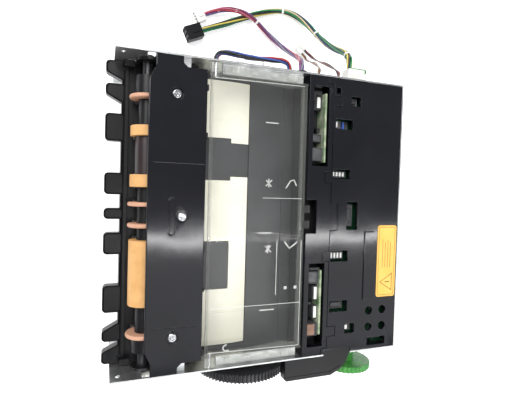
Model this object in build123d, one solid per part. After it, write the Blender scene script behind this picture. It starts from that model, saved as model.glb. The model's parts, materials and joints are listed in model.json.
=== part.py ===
from build123d import *
import math
import os

# Banknote validator module, lying on its base plate. Millimetres, +Z up.
# X runs with the notes, from the toothed entry end (-X) to the exit end (+X).
# Y is the note's width; the gear train is outside the side plate at -Y.
# The origin is the centre of the base plate's underside.

# ---- driving dimensions ----
plate_length = 233.0
outer_width = 225.0
plate_height = 96.0
plate_thickness = 1.2
note_depth = 31.0
shaft_radius = 4.0
running_gap = 0.05
gear_module = 1.0

inner_half = outer_width / 2 - plate_thickness
outer_half = outer_width / 2
note_z = plate_height - note_depth
guide_gap = 1.0


def back(distance):
    """X of a place so far behind the side plates' front edge."""
    return distance - plate_length / 2


def down(depth):
    """Z of a place so far below the side plates' top edge."""
    return plate_height - depth


# ---- roller and gear places ----
entry_roller_radius = 11.5
entry_ring_radius = 12.6
feed_roller_radius = 8.0
entry_pinch_radius = 8.0
feed_pinch_radius = 6.0
nip_gap = 0.3

entry_axis = (back(23.0), note_z + entry_roller_radius)
feed_axis = (back(52.0), note_z + feed_roller_radius)
mid_axis = (back(176.0), note_z + feed_roller_radius)
exit_axis = (back(222.0), note_z + feed_roller_radius)
drive_axis = (back(105.0), down(39.0))
drive_teeth, drive_inner_teeth = 73, 40
motor_teeth, front_idler_teeth, feed_teeth, entry_idler_teeth, entry_teeth = 12, 28, 16, 12, 23
rear_idler_teeth, mid_teeth, wheel_teeth, exit_teeth = 46, 16, 30, 16
motor_reach = gear_module * (drive_teeth + motor_teeth) / 2
motor_axis = (
    drive_axis[0] + motor_reach * math.cos(math.radians(-45)),
    drive_axis[1] + motor_reach * math.sin(math.radians(-45)),
)

inner_gears_y = (-outer_half - 4.3, -outer_half - 0.8)
outer_gears_y = (-127.5, -121.5)


# ---- small builders ----
def block(x0, x1, y0, y1, z0, z1):
    """Box between two corners."""
    return Pos((x0 + x1) / 2, (y0 + y1) / 2, (z0 + z1) / 2) * Box(x1 - x0, y1 - y0, z1 - z0)


def rod(axis, y0, y1, radius):
    """Cylinder along Y about axis (x, z)."""
    return Pos(axis[0], (y0 + y1) / 2, axis[1]) * Rot(90, 0, 0) * Cylinder(radius, y1 - y0)


def post(x, y, z0, z1, radius):
    """Upright cylinder."""
    return Pos(x, y, (z0 + z1) / 2) * Cylinder(radius, z1 - z0)


def ring(axis, y0, y1, radius, bore):
    """Bored cylinder along Y."""
    return rod(axis, y0, y1, radius) - rod(axis, y0, y1, bore)


def slab(outline, z0, z1):
    """Upright prism on an outline of (x, y) points."""
    face = make_face(Polyline(*outline, close=True))
    return Pos(0, 0, z0) * extrude(face, amount=z1 - z0)


def along_y(outline, y0, y1):
    """Prism along Y on an outline of (x, z) points."""
    face = make_face(Polyline(*outline, close=True))
    return extrude(Pos(0, y1, 0) * (Plane.XZ * face), amount=y1 - y0)


def both_sides(piece):
    """The piece and its mirror image across the middle of the module."""
    return [piece, mirror(piece, about=Plane.XZ)]


def group(pieces):
    """Separate solids kept in one node."""
    solids = []
    for piece in pieces:
        solids.extend(piece.solids())
    return Compound(children=solids)


def gear(axis, teeth, y0, y1, phase, bore):
    """Spur gear along Y, with slim teeth so that a pair runs free. phase is one tooth's direction."""
    pitch = 2 * math.pi / teeth
    tip = gear_module * (teeth / 2 + 0.8)
    root = gear_module * (teeth / 2 - 1.1)
    outline = []
    for number in range(teeth):
        middle = phase + number * pitch
        for radius, share in ((root, -0.29), (tip, -0.11), (tip, 0.11), (root, 0.29)):
            angle = middle + share * pitch
            outline.append((axis[0] + radius * math.cos(angle), axis[1] + radius * math.sin(angle)))
    return along_y(outline, y0, y1) - rod(axis, y0, y1, bore)


def next_phase(first, first_teeth, first_phase, second, second_teeth):
    """Tooth direction that puts the second gear in mesh with the first."""
    line = math.atan2(second[1] - first[1], second[0] - first[0])
    place = first_teeth * (line - first_phase) / (2 * math.pi)
    return line + math.pi - 2 * math.pi * (0.5 - place) / second_teeth


def idler_place(first, first_reach, second, second_reach):
    """Centre at the given reaches from two axes, on the lower side."""
    across, up = second[0] - first[0], second[1] - first[1]
    span = math.hypot(across, up)
    along = (first_reach**2 - second_reach**2 + span**2) / (2 * span)
    drop = math.sqrt(max(first_reach**2 - along**2, 0.0))
    side = 1 if across > 0 else -1
    x = first[0] + along * across / span + side * drop * up / span
    z = first[1] + along * up / span - side * drop * across / span
    return (x, z)


def reach(teeth, other_teeth):
    """Centre distance of two gears in mesh."""
    return gear_module * (teeth + other_teeth) / 2


# ---- gear train layout ----
front_idler_axis = idler_place(
    drive_axis, reach(drive_inner_teeth, front_idler_teeth), feed_axis, reach(front_idler_teeth, feed_teeth)
)
entry_idler_axis = idler_place(
    feed_axis, reach(feed_teeth, entry_idler_teeth), entry_axis, reach(entry_idler_teeth, entry_teeth)
)
rear_idler_axis = idler_place(
    drive_axis, reach(drive_inner_teeth, rear_idler_teeth), mid_axis, reach(rear_idler_teeth, mid_teeth)
)
wheel_axis = ((mid_axis[0] + exit_axis[0]) / 2, mid_axis[1])

drive_phase = 0.0
motor_phase = next_phase(drive_axis, drive_teeth, drive_phase, motor_axis, motor_teeth)
front_idler_phase = next_phase(
    drive_axis, drive_inner_teeth, drive_phase, front_idler_axis, front_idler_teeth
)
feed_phase = next_phase(front_idler_axis, front_idler_teeth, front_idler_phase, feed_axis, feed_teeth)
entry_idler_phase = next_phase(feed_axis, feed_teeth, feed_phase, entry_idler_axis, entry_idler_teeth)
entry_phase = next_phase(entry_idler_axis, entry_idler_teeth, entry_idler_phase, entry_axis, entry_teeth)
rear_idler_phase = next_phase(
    drive_axis, drive_inner_teeth, drive_phase, rear_idler_axis, rear_idler_teeth
)
mid_phase = next_phase(rear_idler_axis, rear_idler_teeth, rear_idler_phase, mid_axis, mid_teeth)
wheel_phase = next_phase(mid_axis, mid_teeth, mid_phase, wheel_axis, wheel_teeth)
exit_phase = next_phase(wheel_axis, wheel_teeth, wheel_phase, exit_axis, exit_teeth)

entry_pinch_axis = (entry_axis[0], note_z - nip_gap - entry_pinch_radius)
feed_pinch_axes = [
    (axis[0], note_z - nip_gap - feed_pinch_radius) for axis in (feed_axis, mid_axis, exit_axis)
]
tie_axes = [(back(13.0), 18.0), (back(70.0), 30.0), (back(172.0), 24.0), (back(222.0), 18.0)]
bush_radius = 6.5
pinch_shaft_radius = 2.5
guide_thickness = 2.3

# ---- fixing holes and the guard's neck over the plate ----
side_hole_x, side_hole_z, side_hole_radius = 100.0, 8.0, 2.15
base_hole_x, base_hole_y, base_hole_radius = 80.0, 90.0, 2.25
guard_neck = (back(163.0), back(188.0))
rail_width = 6.8


# ---- chassis: side plates, base, rear plate, ties and screws ----
def side_plate(side):
    """One zinc-plated side plate, with a rail folded in under the window. side is +1 or -1."""
    inner, outer = sorted((side * inner_half, side * outer_half))
    plate = block(back(0), back(plate_length), inner, outer, 0, plate_height)
    cuts = [
        block(back(21.3), back(26.8), inner - 1, outer + 1, down(20), down(2)),
        rod((back(5.3), down(8.2)), inner - 1, outer + 1, 1.6),
    ]
    cuts += [rod(axis, inner - 1, outer + 1, bush_radius) for axis in (entry_axis, feed_axis, mid_axis, exit_axis)]
    cuts += [
        rod(axis, inner - 1, outer + 1, pinch_shaft_radius + running_gap)
        for axis in [entry_pinch_axis] + feed_pinch_axes
    ]
    cuts += [rod((x, side_hole_z), inner - 1, outer + 1, side_hole_radius) for x in (-side_hole_x, side_hole_x)]
    if side > 0:
        cuts.append(block(back(114.3), back(129.3), inner - 1, outer + 1, down(4.5), down(2.0)))
        cuts.append(block(back(8.0), back(15.0), inner - 1, outer + 1, down(26.5), down(25.0)))
    else:
        cuts.append(rod(motor_axis, inner - 1, outer + 1, 6.0))
        cuts.append(block(guard_neck[0], guard_neck[1], inner - 1, outer + 1, down(2.2), down(-1)))
    for cut in cuts:
        plate -= cut
    fold_inner, fold_outer = sorted((side * (inner_half - rail_width), side * outer_half))
    return plate + block(back(74.5), back(140.0), fold_inner, fold_outer, down(6.6), down(5.4))


def base_plate():
    """Bottom pan, screwed between the side plates."""
    pan = block(back(10.0), back(plate_length - plate_thickness), -inner_half, inner_half, 0, plate_thickness)
    pan += block(back(10.0), back(10.0 + plate_thickness), -inner_half, inner_half, 0, 12)
    for x in (-base_hole_x, base_hole_x):
        for y in (-base_hole_y, base_hole_y):
            pan -= post(x, y, -1, plate_thickness + 1, base_hole_radius)
    return pan


exit_slot_half, exit_slot_z = 96.0, (note_z - 4.0, note_z + 4.0)


def rear_plate():
    """Rear plate with the exit slot."""
    x0, x1 = back(plate_length - plate_thickness), back(plate_length)
    plate = block(x0, x1, -inner_half, inner_half, 0, plate_height)
    plate -= block(x0 - 1, x1 + 1, -exit_slot_half, exit_slot_half, *exit_slot_z)
    return plate


def tie_rods():
    """Round ties that hold the side plates apart."""
    return group(rod(axis, -inner_half, inner_half, 4.0) for axis in tie_axes)


def screw_head(axis, side, radius=3.3, height=1.9):
    """Pan head on the outer face of a side plate, with a cross recess."""
    near, far = side * outer_half, side * (outer_half + height)
    head = rod(axis, min(near, far), max(near, far), radius)
    edge = head.edges().filter_by(GeomType.CIRCLE).sort_by(Axis.Y)[-1 if side > 0 else 0]
    head = fillet(edge, 0.9)
    y0, y1 = sorted((side * (outer_half + height - 0.9), side * (outer_half + height + 1)))
    head -= block(axis[0] - 1.8, axis[0] + 1.8, y0, y1, axis[1] - 0.35, axis[1] + 0.35)
    head -= block(axis[0] - 0.35, axis[0] + 0.35, y0, y1, axis[1] - 1.8, axis[1] + 1.8)
    return head


cover_screw_places = [(back(41.0), 85.0), (back(46.1), 0.0), (back(41.0), -85.0)]
cover_recess_z = down(1.2)


def cover_screw(x, y):
    """Pan-head machine screw down through the front cover into the beam."""
    head = post(x, y, cover_recess_z, down(-0.6), 3.1)
    head = fillet(head.edges().filter_by(GeomType.CIRCLE).sort_by(Axis.Z)[-1], 0.8)
    head -= block(x - 1.8, x + 1.8, y - 0.35, y + 0.35, down(0.5), down(-1))
    head -= block(x - 0.35, x + 0.35, y - 1.8, y + 1.8, down(0.5), down(-1))
    return head + post(x, y, down(7.5), cover_recess_z, 1.5)


def screws():
    """All the module's visible screws."""
    pieces = [cover_screw(x, y) for x, y in cover_screw_places]
    for axis in tie_axes:
        pieces += [screw_head(axis, 1), screw_head(axis, -1)]
    return group(pieces)


# ---- note guides ----
tooth_spans = [(0.0, 4.0, 0.0), (14.0, 30.0, 0.0), (53.0, 73.0, 0.0), (80.5, 94.5, 6.5), (97.0, 111.0, 5.5)]
entry_bands = [(56.0, 63.4), (19.9, 28.8), (-65.0, -18.0)]
ring_bands = [(82.3, 85.3), (6.2, 9.2), (-9.0, -6.0), (-88.0, -85.0)]
entry_pinch_bands = [(56.8, 62.6), (20.8, 28.0), (-33.0, -23.0), (-60.0, -50.0)]
feed_bands = [(60.0, 72.0), (20.0, 32.0), (-32.0, -20.0), (-72.0, -60.0)]


comb_rear_x = back(10.5)
guide_top = note_z - guide_gap


def entry_comb():
    """Toothed wall at the entry, with the ridge that the note slides over and its end lugs."""
    comb = block(back(5.7), comb_rear_x, -111.0, 111.0, down(52), down(30))
    tip_x, root_x = back(-5.5), back(6.5)
    for low, high, lean in tooth_spans:
        near = low if low else -high
        tooth = slab([(tip_x, near + lean), (tip_x, high), (root_x, high), (root_x, near)], down(38), down(30))
        tips = tooth.edges().filter_by(Axis.Z).group_by(Axis.X)[0]
        tooth = fillet(tips, min(3.0, (high - near - lean) / 2 - 0.5))
        comb += tooth
        if low:
            comb += mirror(tooth, Plane.XZ)
    comb += block(back(8.0), back(10.2), -111.0, 111.0, down(31), down(29))
    for piece in both_sides(block(back(7.0), back(14.0), 106.5, 111.0, down(33), down(24))):
        comb += piece
    return comb


def entry_guide():
    """Level lower guide behind the comb, with slots for the rollers."""
    guide = block(comb_rear_x, back(66.4), -111.0, 111.0, guide_top - guide_thickness, guide_top)
    guide += block(back(64.4), back(66.4), -111.0, 111.0, guide_top - 12.0, guide_top)
    for piece in both_sides(block(back(36.0), back(43.0), 106.5, 111.0, down(33), down(24))):
        guide += piece
    guide -= block(back(5.0), back(14.0), -112.0, -106.5, down(33), down(24))
    guide -= block(back(5.0), back(14.0), 106.5, 112.0, down(33), down(24))
    for low, high in entry_bands + ring_bands:
        guide -= block(back(14.5), back(31.5), low - 1.2, high + 1.2, down(37), down(29))
    for low, high in feed_bands:
        guide -= block(back(45.2), back(58.8), low - 1.0, high + 1.0, down(37), down(29))
    return guide


cream_step_x = back(90.5)
cream_rear_x = back(106.0)


def cream_profile(front_x):
    """Side outline of a cream guide, level and then falling away to the rear."""
    top = note_z - guide_gap
    return [
        (front_x, top),
        (back(88.0), top),
        (back(94.0), top - 0.3),
        (back(100.0), top - 1.1),
        (cream_rear_x, top - 2.4),
        (cream_rear_x, top - 5.0),
        (front_x, top - 3.0),
    ]


def lower_guide_cream():
    """Light reflective reference guides under the clear window."""
    front = back(66.8)
    left = along_y(cream_profile(front), 57.3, 106.5)
    left -= block(front - 1, cream_step_x, 57.0, 61.0, down(45), down(28))
    right = along_y(cream_profile(front), -106.5, 30.2)
    right -= block(front - 1, cream_step_x, 27.0, 31.0, down(45), down(28))
    right -= block(front - 1, cream_step_x, -61.0, -22.0, down(45), down(28))
    return group([left, right])


def lower_guide_dark():
    """Dark lower guide around and behind the cream guides."""
    top = note_z - guide_gap
    left_insert = along_y(cream_profile(back(66.8)), 27.3, 60.7)
    left_insert -= block(cream_step_x - 0.3, cream_rear_x + 1, 27.0, 30.5, down(45), down(28))
    left_insert -= block(cream_step_x - 0.3, cream_rear_x + 1, 57.0, 61.0, down(45), down(28))
    right_insert = block(back(66.8), cream_step_x - 0.3, -60.7, -22.3, top - 3.0, top)
    right_insert = fillet(right_insert.edges().filter_by(Axis.Z).group_by(Axis.X)[-1], 3.0)
    rear = block(cream_rear_x + 0.3, back(147.5), -111.0, 111.0, top - 4.5, top - 1.2)
    rear += block(back(136.0), back(147.5), -111.0, 111.0, top - 1.3, top)
    carrier = block(back(66.8), cream_rear_x + 0.3, -111.0, -107.0, top - 9.0, top - 2.5)
    sides = both_sides(carrier)
    return group([left_insert, right_insert, rear] + sides)


def rear_lower_guide():
    """Lower guide of the rear half, with slots for the pinch rollers."""
    top = note_z - guide_gap
    guide = block(back(164.5), back(230.5), -111.0, 111.0, top - guide_thickness, top)
    guide += block(back(164.5), back(166.5), -111.0, 111.0, top - 14, top)
    guide += block(back(228.5), back(230.5), -111.0, 111.0, top - 14, top)
    for axis in (mid_axis, exit_axis):
        for low, high in feed_bands:
            x0, x1 = axis[0] - 6.3, min(axis[0] + 6.3, back(228.4))
            guide -= block(x0, x1, low - 1, high + 1, top - 4.5, top + 1)
    return guide


# ---- front cover ----
cover_front_x, cover_rear_x = back(22.0), back(62.3)
beam_z = (down(6.0), down(4.0))


def cover_outline():
    """Half outline of the front cover, with its end tab and cut corner."""
    return [
        (cover_front_x, 0.0),
        (cover_front_x, 93.2),
        (back(26.2), 101.8),
        (back(26.2), inner_half),
        (back(45.2), inner_half),
        (back(45.2), 106.5),
        (back(48.0), 104.0),
        (cover_rear_x, 104.0),
        (cover_rear_x, 0.0),
    ]


def front_cover():
    """Moulded cover over the entry and feed rollers."""
    half = cover_outline()
    outline = half[1:-1] + [(x, -y) for x, y in reversed(half[1:-1])]
    cover = slab(outline, down(2.4), down(0))
    cover = fillet(cover.edges().group_by(Axis.Z)[-1].filter_by(Axis.Y), 0.8)
    cover += block(cover_front_x, back(24.0), -93.0, 93.0, down(4.0), down(2.0))
    cover += block(back(60.5), cover_rear_x, -104.0, 104.0, down(9.0), down(2.0))
    for y in (-70.0, -35.0, 35.0, 70.0):
        cover += block(back(24.0), back(35.0), y - 0.8, y + 0.8, down(4.0), down(2.0))
    for x, y in cover_screw_places:
        cover += post(x, y, beam_z[1], down(2.0), 4.8)
        cover -= post(x, y, cover_recess_z, down(-1), 4.4)
        cover -= post(x, y, down(6), down(1.0), 1.7)
    groove = Pos(back(38.8), 0, down(0.6)) * extrude(
        SlotOverall(27.0, 4.8, rotation=90) - SlotOverall(25.0, 2.8, rotation=90), amount=2
    )
    cover -= groove
    for y in (-78.0, 37.0):
        cover -= block(back(26.0), cover_rear_x - 1.0, y - 0.25, y + 0.25, down(0.25), down(-1))
    return cover


def cover_beam():
    """Folded steel beam between the side plates that the cover is screwed to."""
    beam = block(back(34.0), back(51.0), -inner_half, inner_half, *beam_z)
    for side in (-1, 1):
        y0, y1 = sorted((side * inner_half, side * (inner_half - 1.5)))
        beam += block(back(34.0), back(51.0), y0, y1, down(14.0), beam_z[1])
    for x, y in cover_screw_places:
        beam -= post(x, y, down(7), down(3), 1.5)
    return beam


# ---- entry roller shaft ----
def roller_shaft(axis, first_teeth_y):
    """Steel shaft from the far bush to its gear."""
    return rod(axis, first_teeth_y, outer_half + 1.5, shaft_radius)


gear_end_y = inner_gears_y[0] - 0.6


def shaft_bearings():
    """Flanged bushes that carry the four driven shafts in the side plates."""
    pieces = []
    for axis in (entry_axis, feed_axis, mid_axis, exit_axis):
        bush = ring(axis, inner_half - 2.0, outer_half, bush_radius, shaft_radius + running_gap)
        bush += ring(axis, inner_half - 2.0, inner_half, bush_radius + 2.0, shaft_radius + running_gap)
        pieces += both_sides(bush)
    return group(pieces)


def entry_rollers():
    """Rubber-covered rollers of the entry shaft."""
    return group(
        fillet(ring(entry_axis, low, high, entry_roller_radius, shaft_radius)
               .edges().filter_by(lambda edge: edge.length > 2 * math.pi * 10), 0.5)
        for low, high in entry_bands
    )


def entry_rings():
    """Narrow rubber rings that lift the note's edges."""
    return group(
        fillet(ring(entry_axis, low, high, entry_ring_radius, shaft_radius)
               .edges().filter_by(lambda edge: edge.length > 2 * math.pi * 10), 1.2)
        for low, high in ring_bands
    )


def entry_sleeve():
    """Dark tube between the two narrow rollers."""
    return ring(entry_axis, 28.8, 56.0, 8.2, shaft_radius)


def entry_hubs():
    """Plastic hubs that space the rollers and rings along the shaft."""
    spans = [(9.2, 19.9), (-6.0, 6.2), (-18.0, -9.0), (-85.0, -65.0), (63.4, 82.3)]
    pieces = [ring(entry_axis, low, high, 6.2, shaft_radius) for low, high in spans]
    pieces += [ring(entry_axis, low, high, 8.5, shaft_radius) for low, high in ((85.3, 99.0), (-99.0, -88.0))]
    return group(pieces)


# ---- other driven shafts and the pinch shafts below ----
def feed_roller_set(axis):
    """Steel shaft with four rubber rollers pressed on."""
    pieces = [roller_shaft(axis, gear_end_y)]
    for low, high in feed_bands:
        pieces.append(ring(axis, low, high, feed_roller_radius, shaft_radius))
    return group(pieces)


def pinch_set(axis, bands, radius):
    """Thin shaft with plain rollers that press the note up."""
    pieces = [rod(axis, -outer_half, outer_half, pinch_shaft_radius)]
    for low, high in bands:
        pieces.append(ring(axis, low, high, radius, pinch_shaft_radius))
    return group(pieces)


# ---- gear train ----
axle_radius = 3.0


def gear_axles():
    """Stub axles riveted to the drive-side plate."""
    outer = outer_gears_y[0] - 1.5
    pieces = [rod(drive_axis, outer, -outer_half, axle_radius)]
    pieces.append(rod(wheel_axis, -127.4, -outer_half, axle_radius))
    for axis in (front_idler_axis, entry_idler_axis, rear_idler_axis):
        pieces.append(rod(axis, inner_gears_y[0] - 1.2, -outer_half, axle_radius))
    return group(pieces)


def drive_gear():
    """Large driven gear with a smaller gear on its back."""
    bore = axle_radius + running_gap
    big = gear(drive_axis, drive_teeth, *outer_gears_y, drive_phase, bore)
    big -= ring(drive_axis, outer_gears_y[0] - 1, outer_gears_y[0] + 2.0, 33.0, 10.0)
    neck = ring(drive_axis, outer_gears_y[1], inner_gears_y[0], 12.0, bore)
    small = gear(drive_axis, drive_inner_teeth, *inner_gears_y, drive_phase, bore)
    return big + neck + small


def inner_gear(axis, teeth, phase):
    """Idler that runs on a stub axle beside the side plate."""
    wheel = gear(axis, teeth, *inner_gears_y, phase, axle_radius + running_gap)
    if teeth > 40:
        wheel -= ring(axis, inner_gears_y[0] - 1, inner_gears_y[0] + 1.5, teeth / 2 - 4.0, 7.0)
    return wheel


def shaft_gear(axis, teeth, phase):
    """Gear pressed on the end of a roller shaft."""
    return gear(axis, teeth, *inner_gears_y, phase, shaft_radius)


wheel_face_y, wheel_back_y = -132.5, -127.5
wheel_radius = 21.0


def hand_wheel():
    """Green hand wheel for turning the rollers by hand, in one piece with its gear."""
    bore = axle_radius + running_gap
    notches = 36
    wheel = rod(wheel_axis, wheel_face_y, wheel_back_y, wheel_radius)
    for number in range(notches):
        angle = 2 * math.pi * number / notches
        place = (
            wheel_axis[0] + (wheel_radius + 0.4) * math.cos(angle),
            wheel_axis[1] + (wheel_radius + 0.4) * math.sin(angle),
        )
        wheel -= rod(place, wheel_face_y - 1, wheel_back_y + 1, 1.2)
    wheel -= ring(wheel_axis, wheel_face_y - 1, wheel_face_y + 2.2, 17.0, 6.5)
    hub = ring(wheel_axis, wheel_back_y, inner_gears_y[0], 7.0, bore)
    return wheel + hub + gear(wheel_axis, wheel_teeth, *inner_gears_y, wheel_phase, bore)


def motor_pinion():
    """Motor shaft with the pinion cut on its end."""
    pinion = gear(motor_axis, motor_teeth, outer_gears_y[0], outer_gears_y[1], motor_phase, 0.5)
    return pinion + rod(motor_axis, outer_gears_y[0] - 0.5, -100.0, 2.5)


def drive_motor():
    """Can motor bolted inside the drive-side plate."""
    body = rod(motor_axis, -108.3, -62.0, 18.0)
    body = fillet(body.edges().filter_by(GeomType.CIRCLE), 1.5)
    body += rod(motor_axis, -inner_half, -107.0, 16.5)
    body += rod(motor_axis, -62.5, -59.0, 5.0)
    body += block(motor_axis[0] - 7, motor_axis[0] + 7, -66.0, -60.0, motor_axis[1] + 8, motor_axis[1] + 13)
    return body - rod(motor_axis, -outer_half, -99.0, 2.5 + running_gap)


def gear_guard():
    """Moulded guard over the rear half of the gear train, wrapped over the side plate."""
    edge = -129.5
    outline = [
        (back(129.0), -outer_half),
        (back(129.0), edge),
        (back(171.0), edge),
        (back(180.0), -125.0),
        (back(185.0), -119.5),
        (back(188.0), -outer_half),
    ]
    inside = [
        (back(130.6), -outer_half),
        (back(130.6), edge + 1.6),
        (back(170.4), edge + 1.6),
        (back(178.9), -123.9),
        (back(183.5), -118.8),
        (back(186.3), -outer_half),
    ]
    guard = slab(outline, down(8.0), down(0.4))
    corner = guard.edges().filter_by(Axis.Z).sort_by(lambda edge: edge.center().X + edge.center().Y)[0]
    guard = fillet(corner, 3.0)
    guard = fillet(guard.edges().group_by(Axis.Z)[-1].filter_by(lambda e: e.center().Y < -113), 0.8)
    guard -= slab(inside, down(9.0), down(2.4))
    guard += block(guard_neck[0] + 0.2, guard_neck[1] - 0.2, -outer_half - 0.5, -108.2, down(2.0), down(0.4))
    return guard


# ---- clear window guide ----
window_front_x, window_rear_x = back(65.3), back(142.0)
window_half = 103.3
hinge_axis = (back(69.0), down(4.0))
hinge_pin_radius = 1.5
latch_tabs = [(3.1, 9.1)]


def window_guide():
    """Clear upper guide that swings up about its front edge, so that a jam can be cleared."""
    tray = block(window_front_x, window_rear_x, -window_half, window_half, down(3.0), down(1.0))
    tray += block(window_front_x, back(66.8), -window_half, window_half, down(5.0), down(0.2))
    tray += block(back(140.5), window_rear_x, -window_half, window_half, down(9.0), down(1.0))
    wall = along_y(
        [
            (window_front_x, down(0.2)),
            (window_front_x, down(5.0)),
            (back(98.0), down(8.0)),
            (back(133.0), down(15.0)),
            (window_rear_x, down(9.0)),
            (window_rear_x, down(0.2)),
        ],
        window_half - 1.5,
        window_half,
    )
    flange = block(back(76.0), back(139.0), window_half, 109.6, down(4.5), down(3.0))
    ear = block(window_front_x, back(72.8), window_half - 0.5, 110.4, down(7.0), down(0.8))
    ear = fillet(ear.edges().filter_by(Axis.Y), 1.2)
    clip_lug = block(back(84.0), back(89.5), window_half, 109.6, down(3.2), down(1.0))
    rib = block(back(66.0), back(141.0), 68.9, 70.1, down(1.2), down(0.0))
    centre_rib = block(back(66.0), back(141.0), 12.2, 13.4, down(1.2), down(0.0))
    tab = block(back(141.5), back(146.7), *latch_tabs[0], down(3.0), down(1.0))
    for piece in (wall, flange, ear, clip_lug, rib, centre_rib, tab):
        for copy in both_sides(piece):
            tray += copy
    for copy in both_sides(rod(hinge_axis, 99.0, 111.5, hinge_pin_radius + running_gap)):
        tray -= copy
    return tray


def hinge_pins():
    """Shouldered pins in the side plates that the window swings on."""
    return group(both_sides(rod(hinge_axis, 101.0, inner_half, hinge_pin_radius)))


# ---- sensor bridge ----
seam_gap = 0.4
bridge_front_x = back(143.5)
seam_steps = [
    (10.5, 171.5),
    (27.2, 165.0),
    (36.0, 159.0),
    (89.0, 165.0),
    (96.6, 172.6),
    (106.2, 165.2),
    (inner_half, 160.0),
]


def seam_line(gap):
    """Half of the stepped seam between the sensor bridge and the rear cover."""
    points = []
    start = 0.0
    previous = None
    for end, distance in seam_steps:
        grow = 0.0
        if previous is not None:
            grow = gap if previous > distance else -gap
        points.append((back(distance) + gap, start + grow))
        points.append((back(distance) + gap, end))
        start, previous = end, distance
    for index in range(1, len(points) - 1, 2):
        points[index] = (points[index][0], points[index + 1][1])
    return points


def mirrored(points):
    """A closed run of points from a half line starting on the middle."""
    lower = [(x, -y) for x, y in reversed(points[1:])]
    return lower + points[1:]


board_spans = [(43.5, 98.0), (-95.0, -43.0)]
sensor_x = (back(148.0), back(162.0))


def sensor_bridge():
    """Black moulding across the note path that holds the upper sensors."""
    points = mirrored(seam_line(0.0))
    outline = [(bridge_front_x, -inner_half)] + points + [(bridge_front_x, inner_half)]
    bridge = slab(outline, down(3.0), down(0))
    bridge += block(bridge_front_x, back(145.8), -inner_half, inner_half, down(28.0), down(1.0))
    for piece in both_sides(block(bridge_front_x, back(159.5), 108.6, inner_half, down(28.0), down(1.0))):
        bridge += piece
    bridge -= block(back(147.3), back(161.2), 40.3, 103.2, down(4), down(-1))
    bridge -= block(back(147.5), back(161.2), -104.0, -37.0, down(4), down(-1))
    bridge -= block(back(143.0), back(152.6), -13.0, 13.6, down(12.0), down(-1))
    for piece in both_sides(block(back(160.5), back(163.5), 99.0, 101.5, down(0.6), down(-1))):
        bridge -= piece
    return bridge


def upper_image_sensor():
    """Contact image sensor that reads the note from above."""
    x0, x1 = sensor_x
    bar = block(x0, x1, -108.3, 108.3, down(28.0), down(14.0))
    bar -= block(x0 + 4.0, x1 - 4.0, -100.0, 100.0, down(29.0), down(27.0))
    return bar + block(x0 + 4.2, x1 - 4.2, -99.8, 99.8, down(28.0), down(26.9))


def lower_image_sensor():
    """Contact image sensor that reads the note from below."""
    x0, x1 = sensor_x
    top = note_z - guide_gap
    bar = block(x0, x1, -inner_half, inner_half, top - 16.0, top)
    bar -= block(x0 + 4.0, x1 - 4.0, -100.0, 100.0, top - 1.0, top + 1)
    return bar + block(x0 + 4.2, x1 - 4.2, -99.8, 99.8, top - 1.1, top - 0.1)


def sensor_boards():
    """Circuit boards that stand on the upper image sensor."""
    return group(
        block(back(158.2), back(159.8), low, high, down(14.0), down(1.6)) for low, high in board_spans
    )


def sensor_connectors():
    """Connectors on the sensor boards and the flat-cable sockets beside them."""
    spans = [
        (149.0, 44.5, 55.0, 4.0),
        (150.5, 60.0, 66.0, 6.0),
        (151.5, 86.0, 97.0, 7.0),
        (147.8, -54.0, -44.2, 3.5),
        (154.0, -67.5, -56.2, 5.0),
        (154.4, -82.8, -72.0, 5.0),
        (147.8, -96.4, -86.0, 3.5),
    ]
    return group(block(back(x), back(158.2), low, high, down(12.0), down(depth)) for x, low, high, depth in spans)


# ---- rear cover, main board and label ----
cover_windows = [
    (181.6, 190.4, 90.2, 97.9),
    (167.5, 183.4, 70.8, 78.8),
    (166.4, 182.3, 30.9, 38.5),
    (180.6, 190.6, -10.5, 12.4),
    (166.6, 182.6, -36.2, -27.4),
    (167.0, 183.6, -77.3, -68.3),
    (182.0, 191.2, -96.0, -88.1),
    (204.3, 222.5, -108.4, -101.6),
    (167.6, 171.6, 99.0, 103.5),
]
rear_cover_end = back(plate_length - plate_thickness) - 0.3
label_box = (back(211.5), back(231.0), -67.8, -7.0)


def rear_cover():
    """Glossy cover over the main board, with windows, test holes and a raised ridge."""
    points = mirrored(seam_line(seam_gap))
    outline = points + [(rear_cover_end, inner_half), (rear_cover_end, -inner_half)]
    cover = slab(outline, down(2.4), down(0))
    for piece in both_sides(block(back(162.0), rear_cover_end, inner_half - 2.0, inner_half, down(8.0), down(2.0))):
        cover += piece
    cover += block(rear_cover_end - 2.0, rear_cover_end, -inner_half, inner_half, down(8.0), down(2.0))
    ridge = block(back(198.0), back(207.5), -69.0, -12.0, down(0.5), down(-1.0))
    cover += fillet(ridge.edges().group_by(Axis.Z)[-1], 0.7)
    for x0, x1, y0, y1 in cover_windows:
        cover -= block(back(x0), back(x1), y0, y1, down(3), down(-1))
    for x in (205.2, 218.8):
        for y in (-78.6, -92.4):
            cover -= post(back(x), y, down(3), down(-1), 3.5)
    cover -= block(label_box[0], label_box[1] + 0.3, label_box[2] - 0.3, label_box[3] + 0.3, down(0.3), down(-1))
    cover -= block(guard_neck[0], guard_neck[1], -inner_half - 1, -108.0, down(9.0), down(-1))
    return cover


def main_board():
    """Controller circuit board under the rear cover."""
    board = block(back(166.0), back(228.0), -106.0, 106.0, down(10.6), down(9.0))
    for piece in both_sides(block(back(214.0), back(227.0), 106.0, inner_half - 2.0, down(12.5), down(9.0))):
        board += piece
    return board


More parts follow.
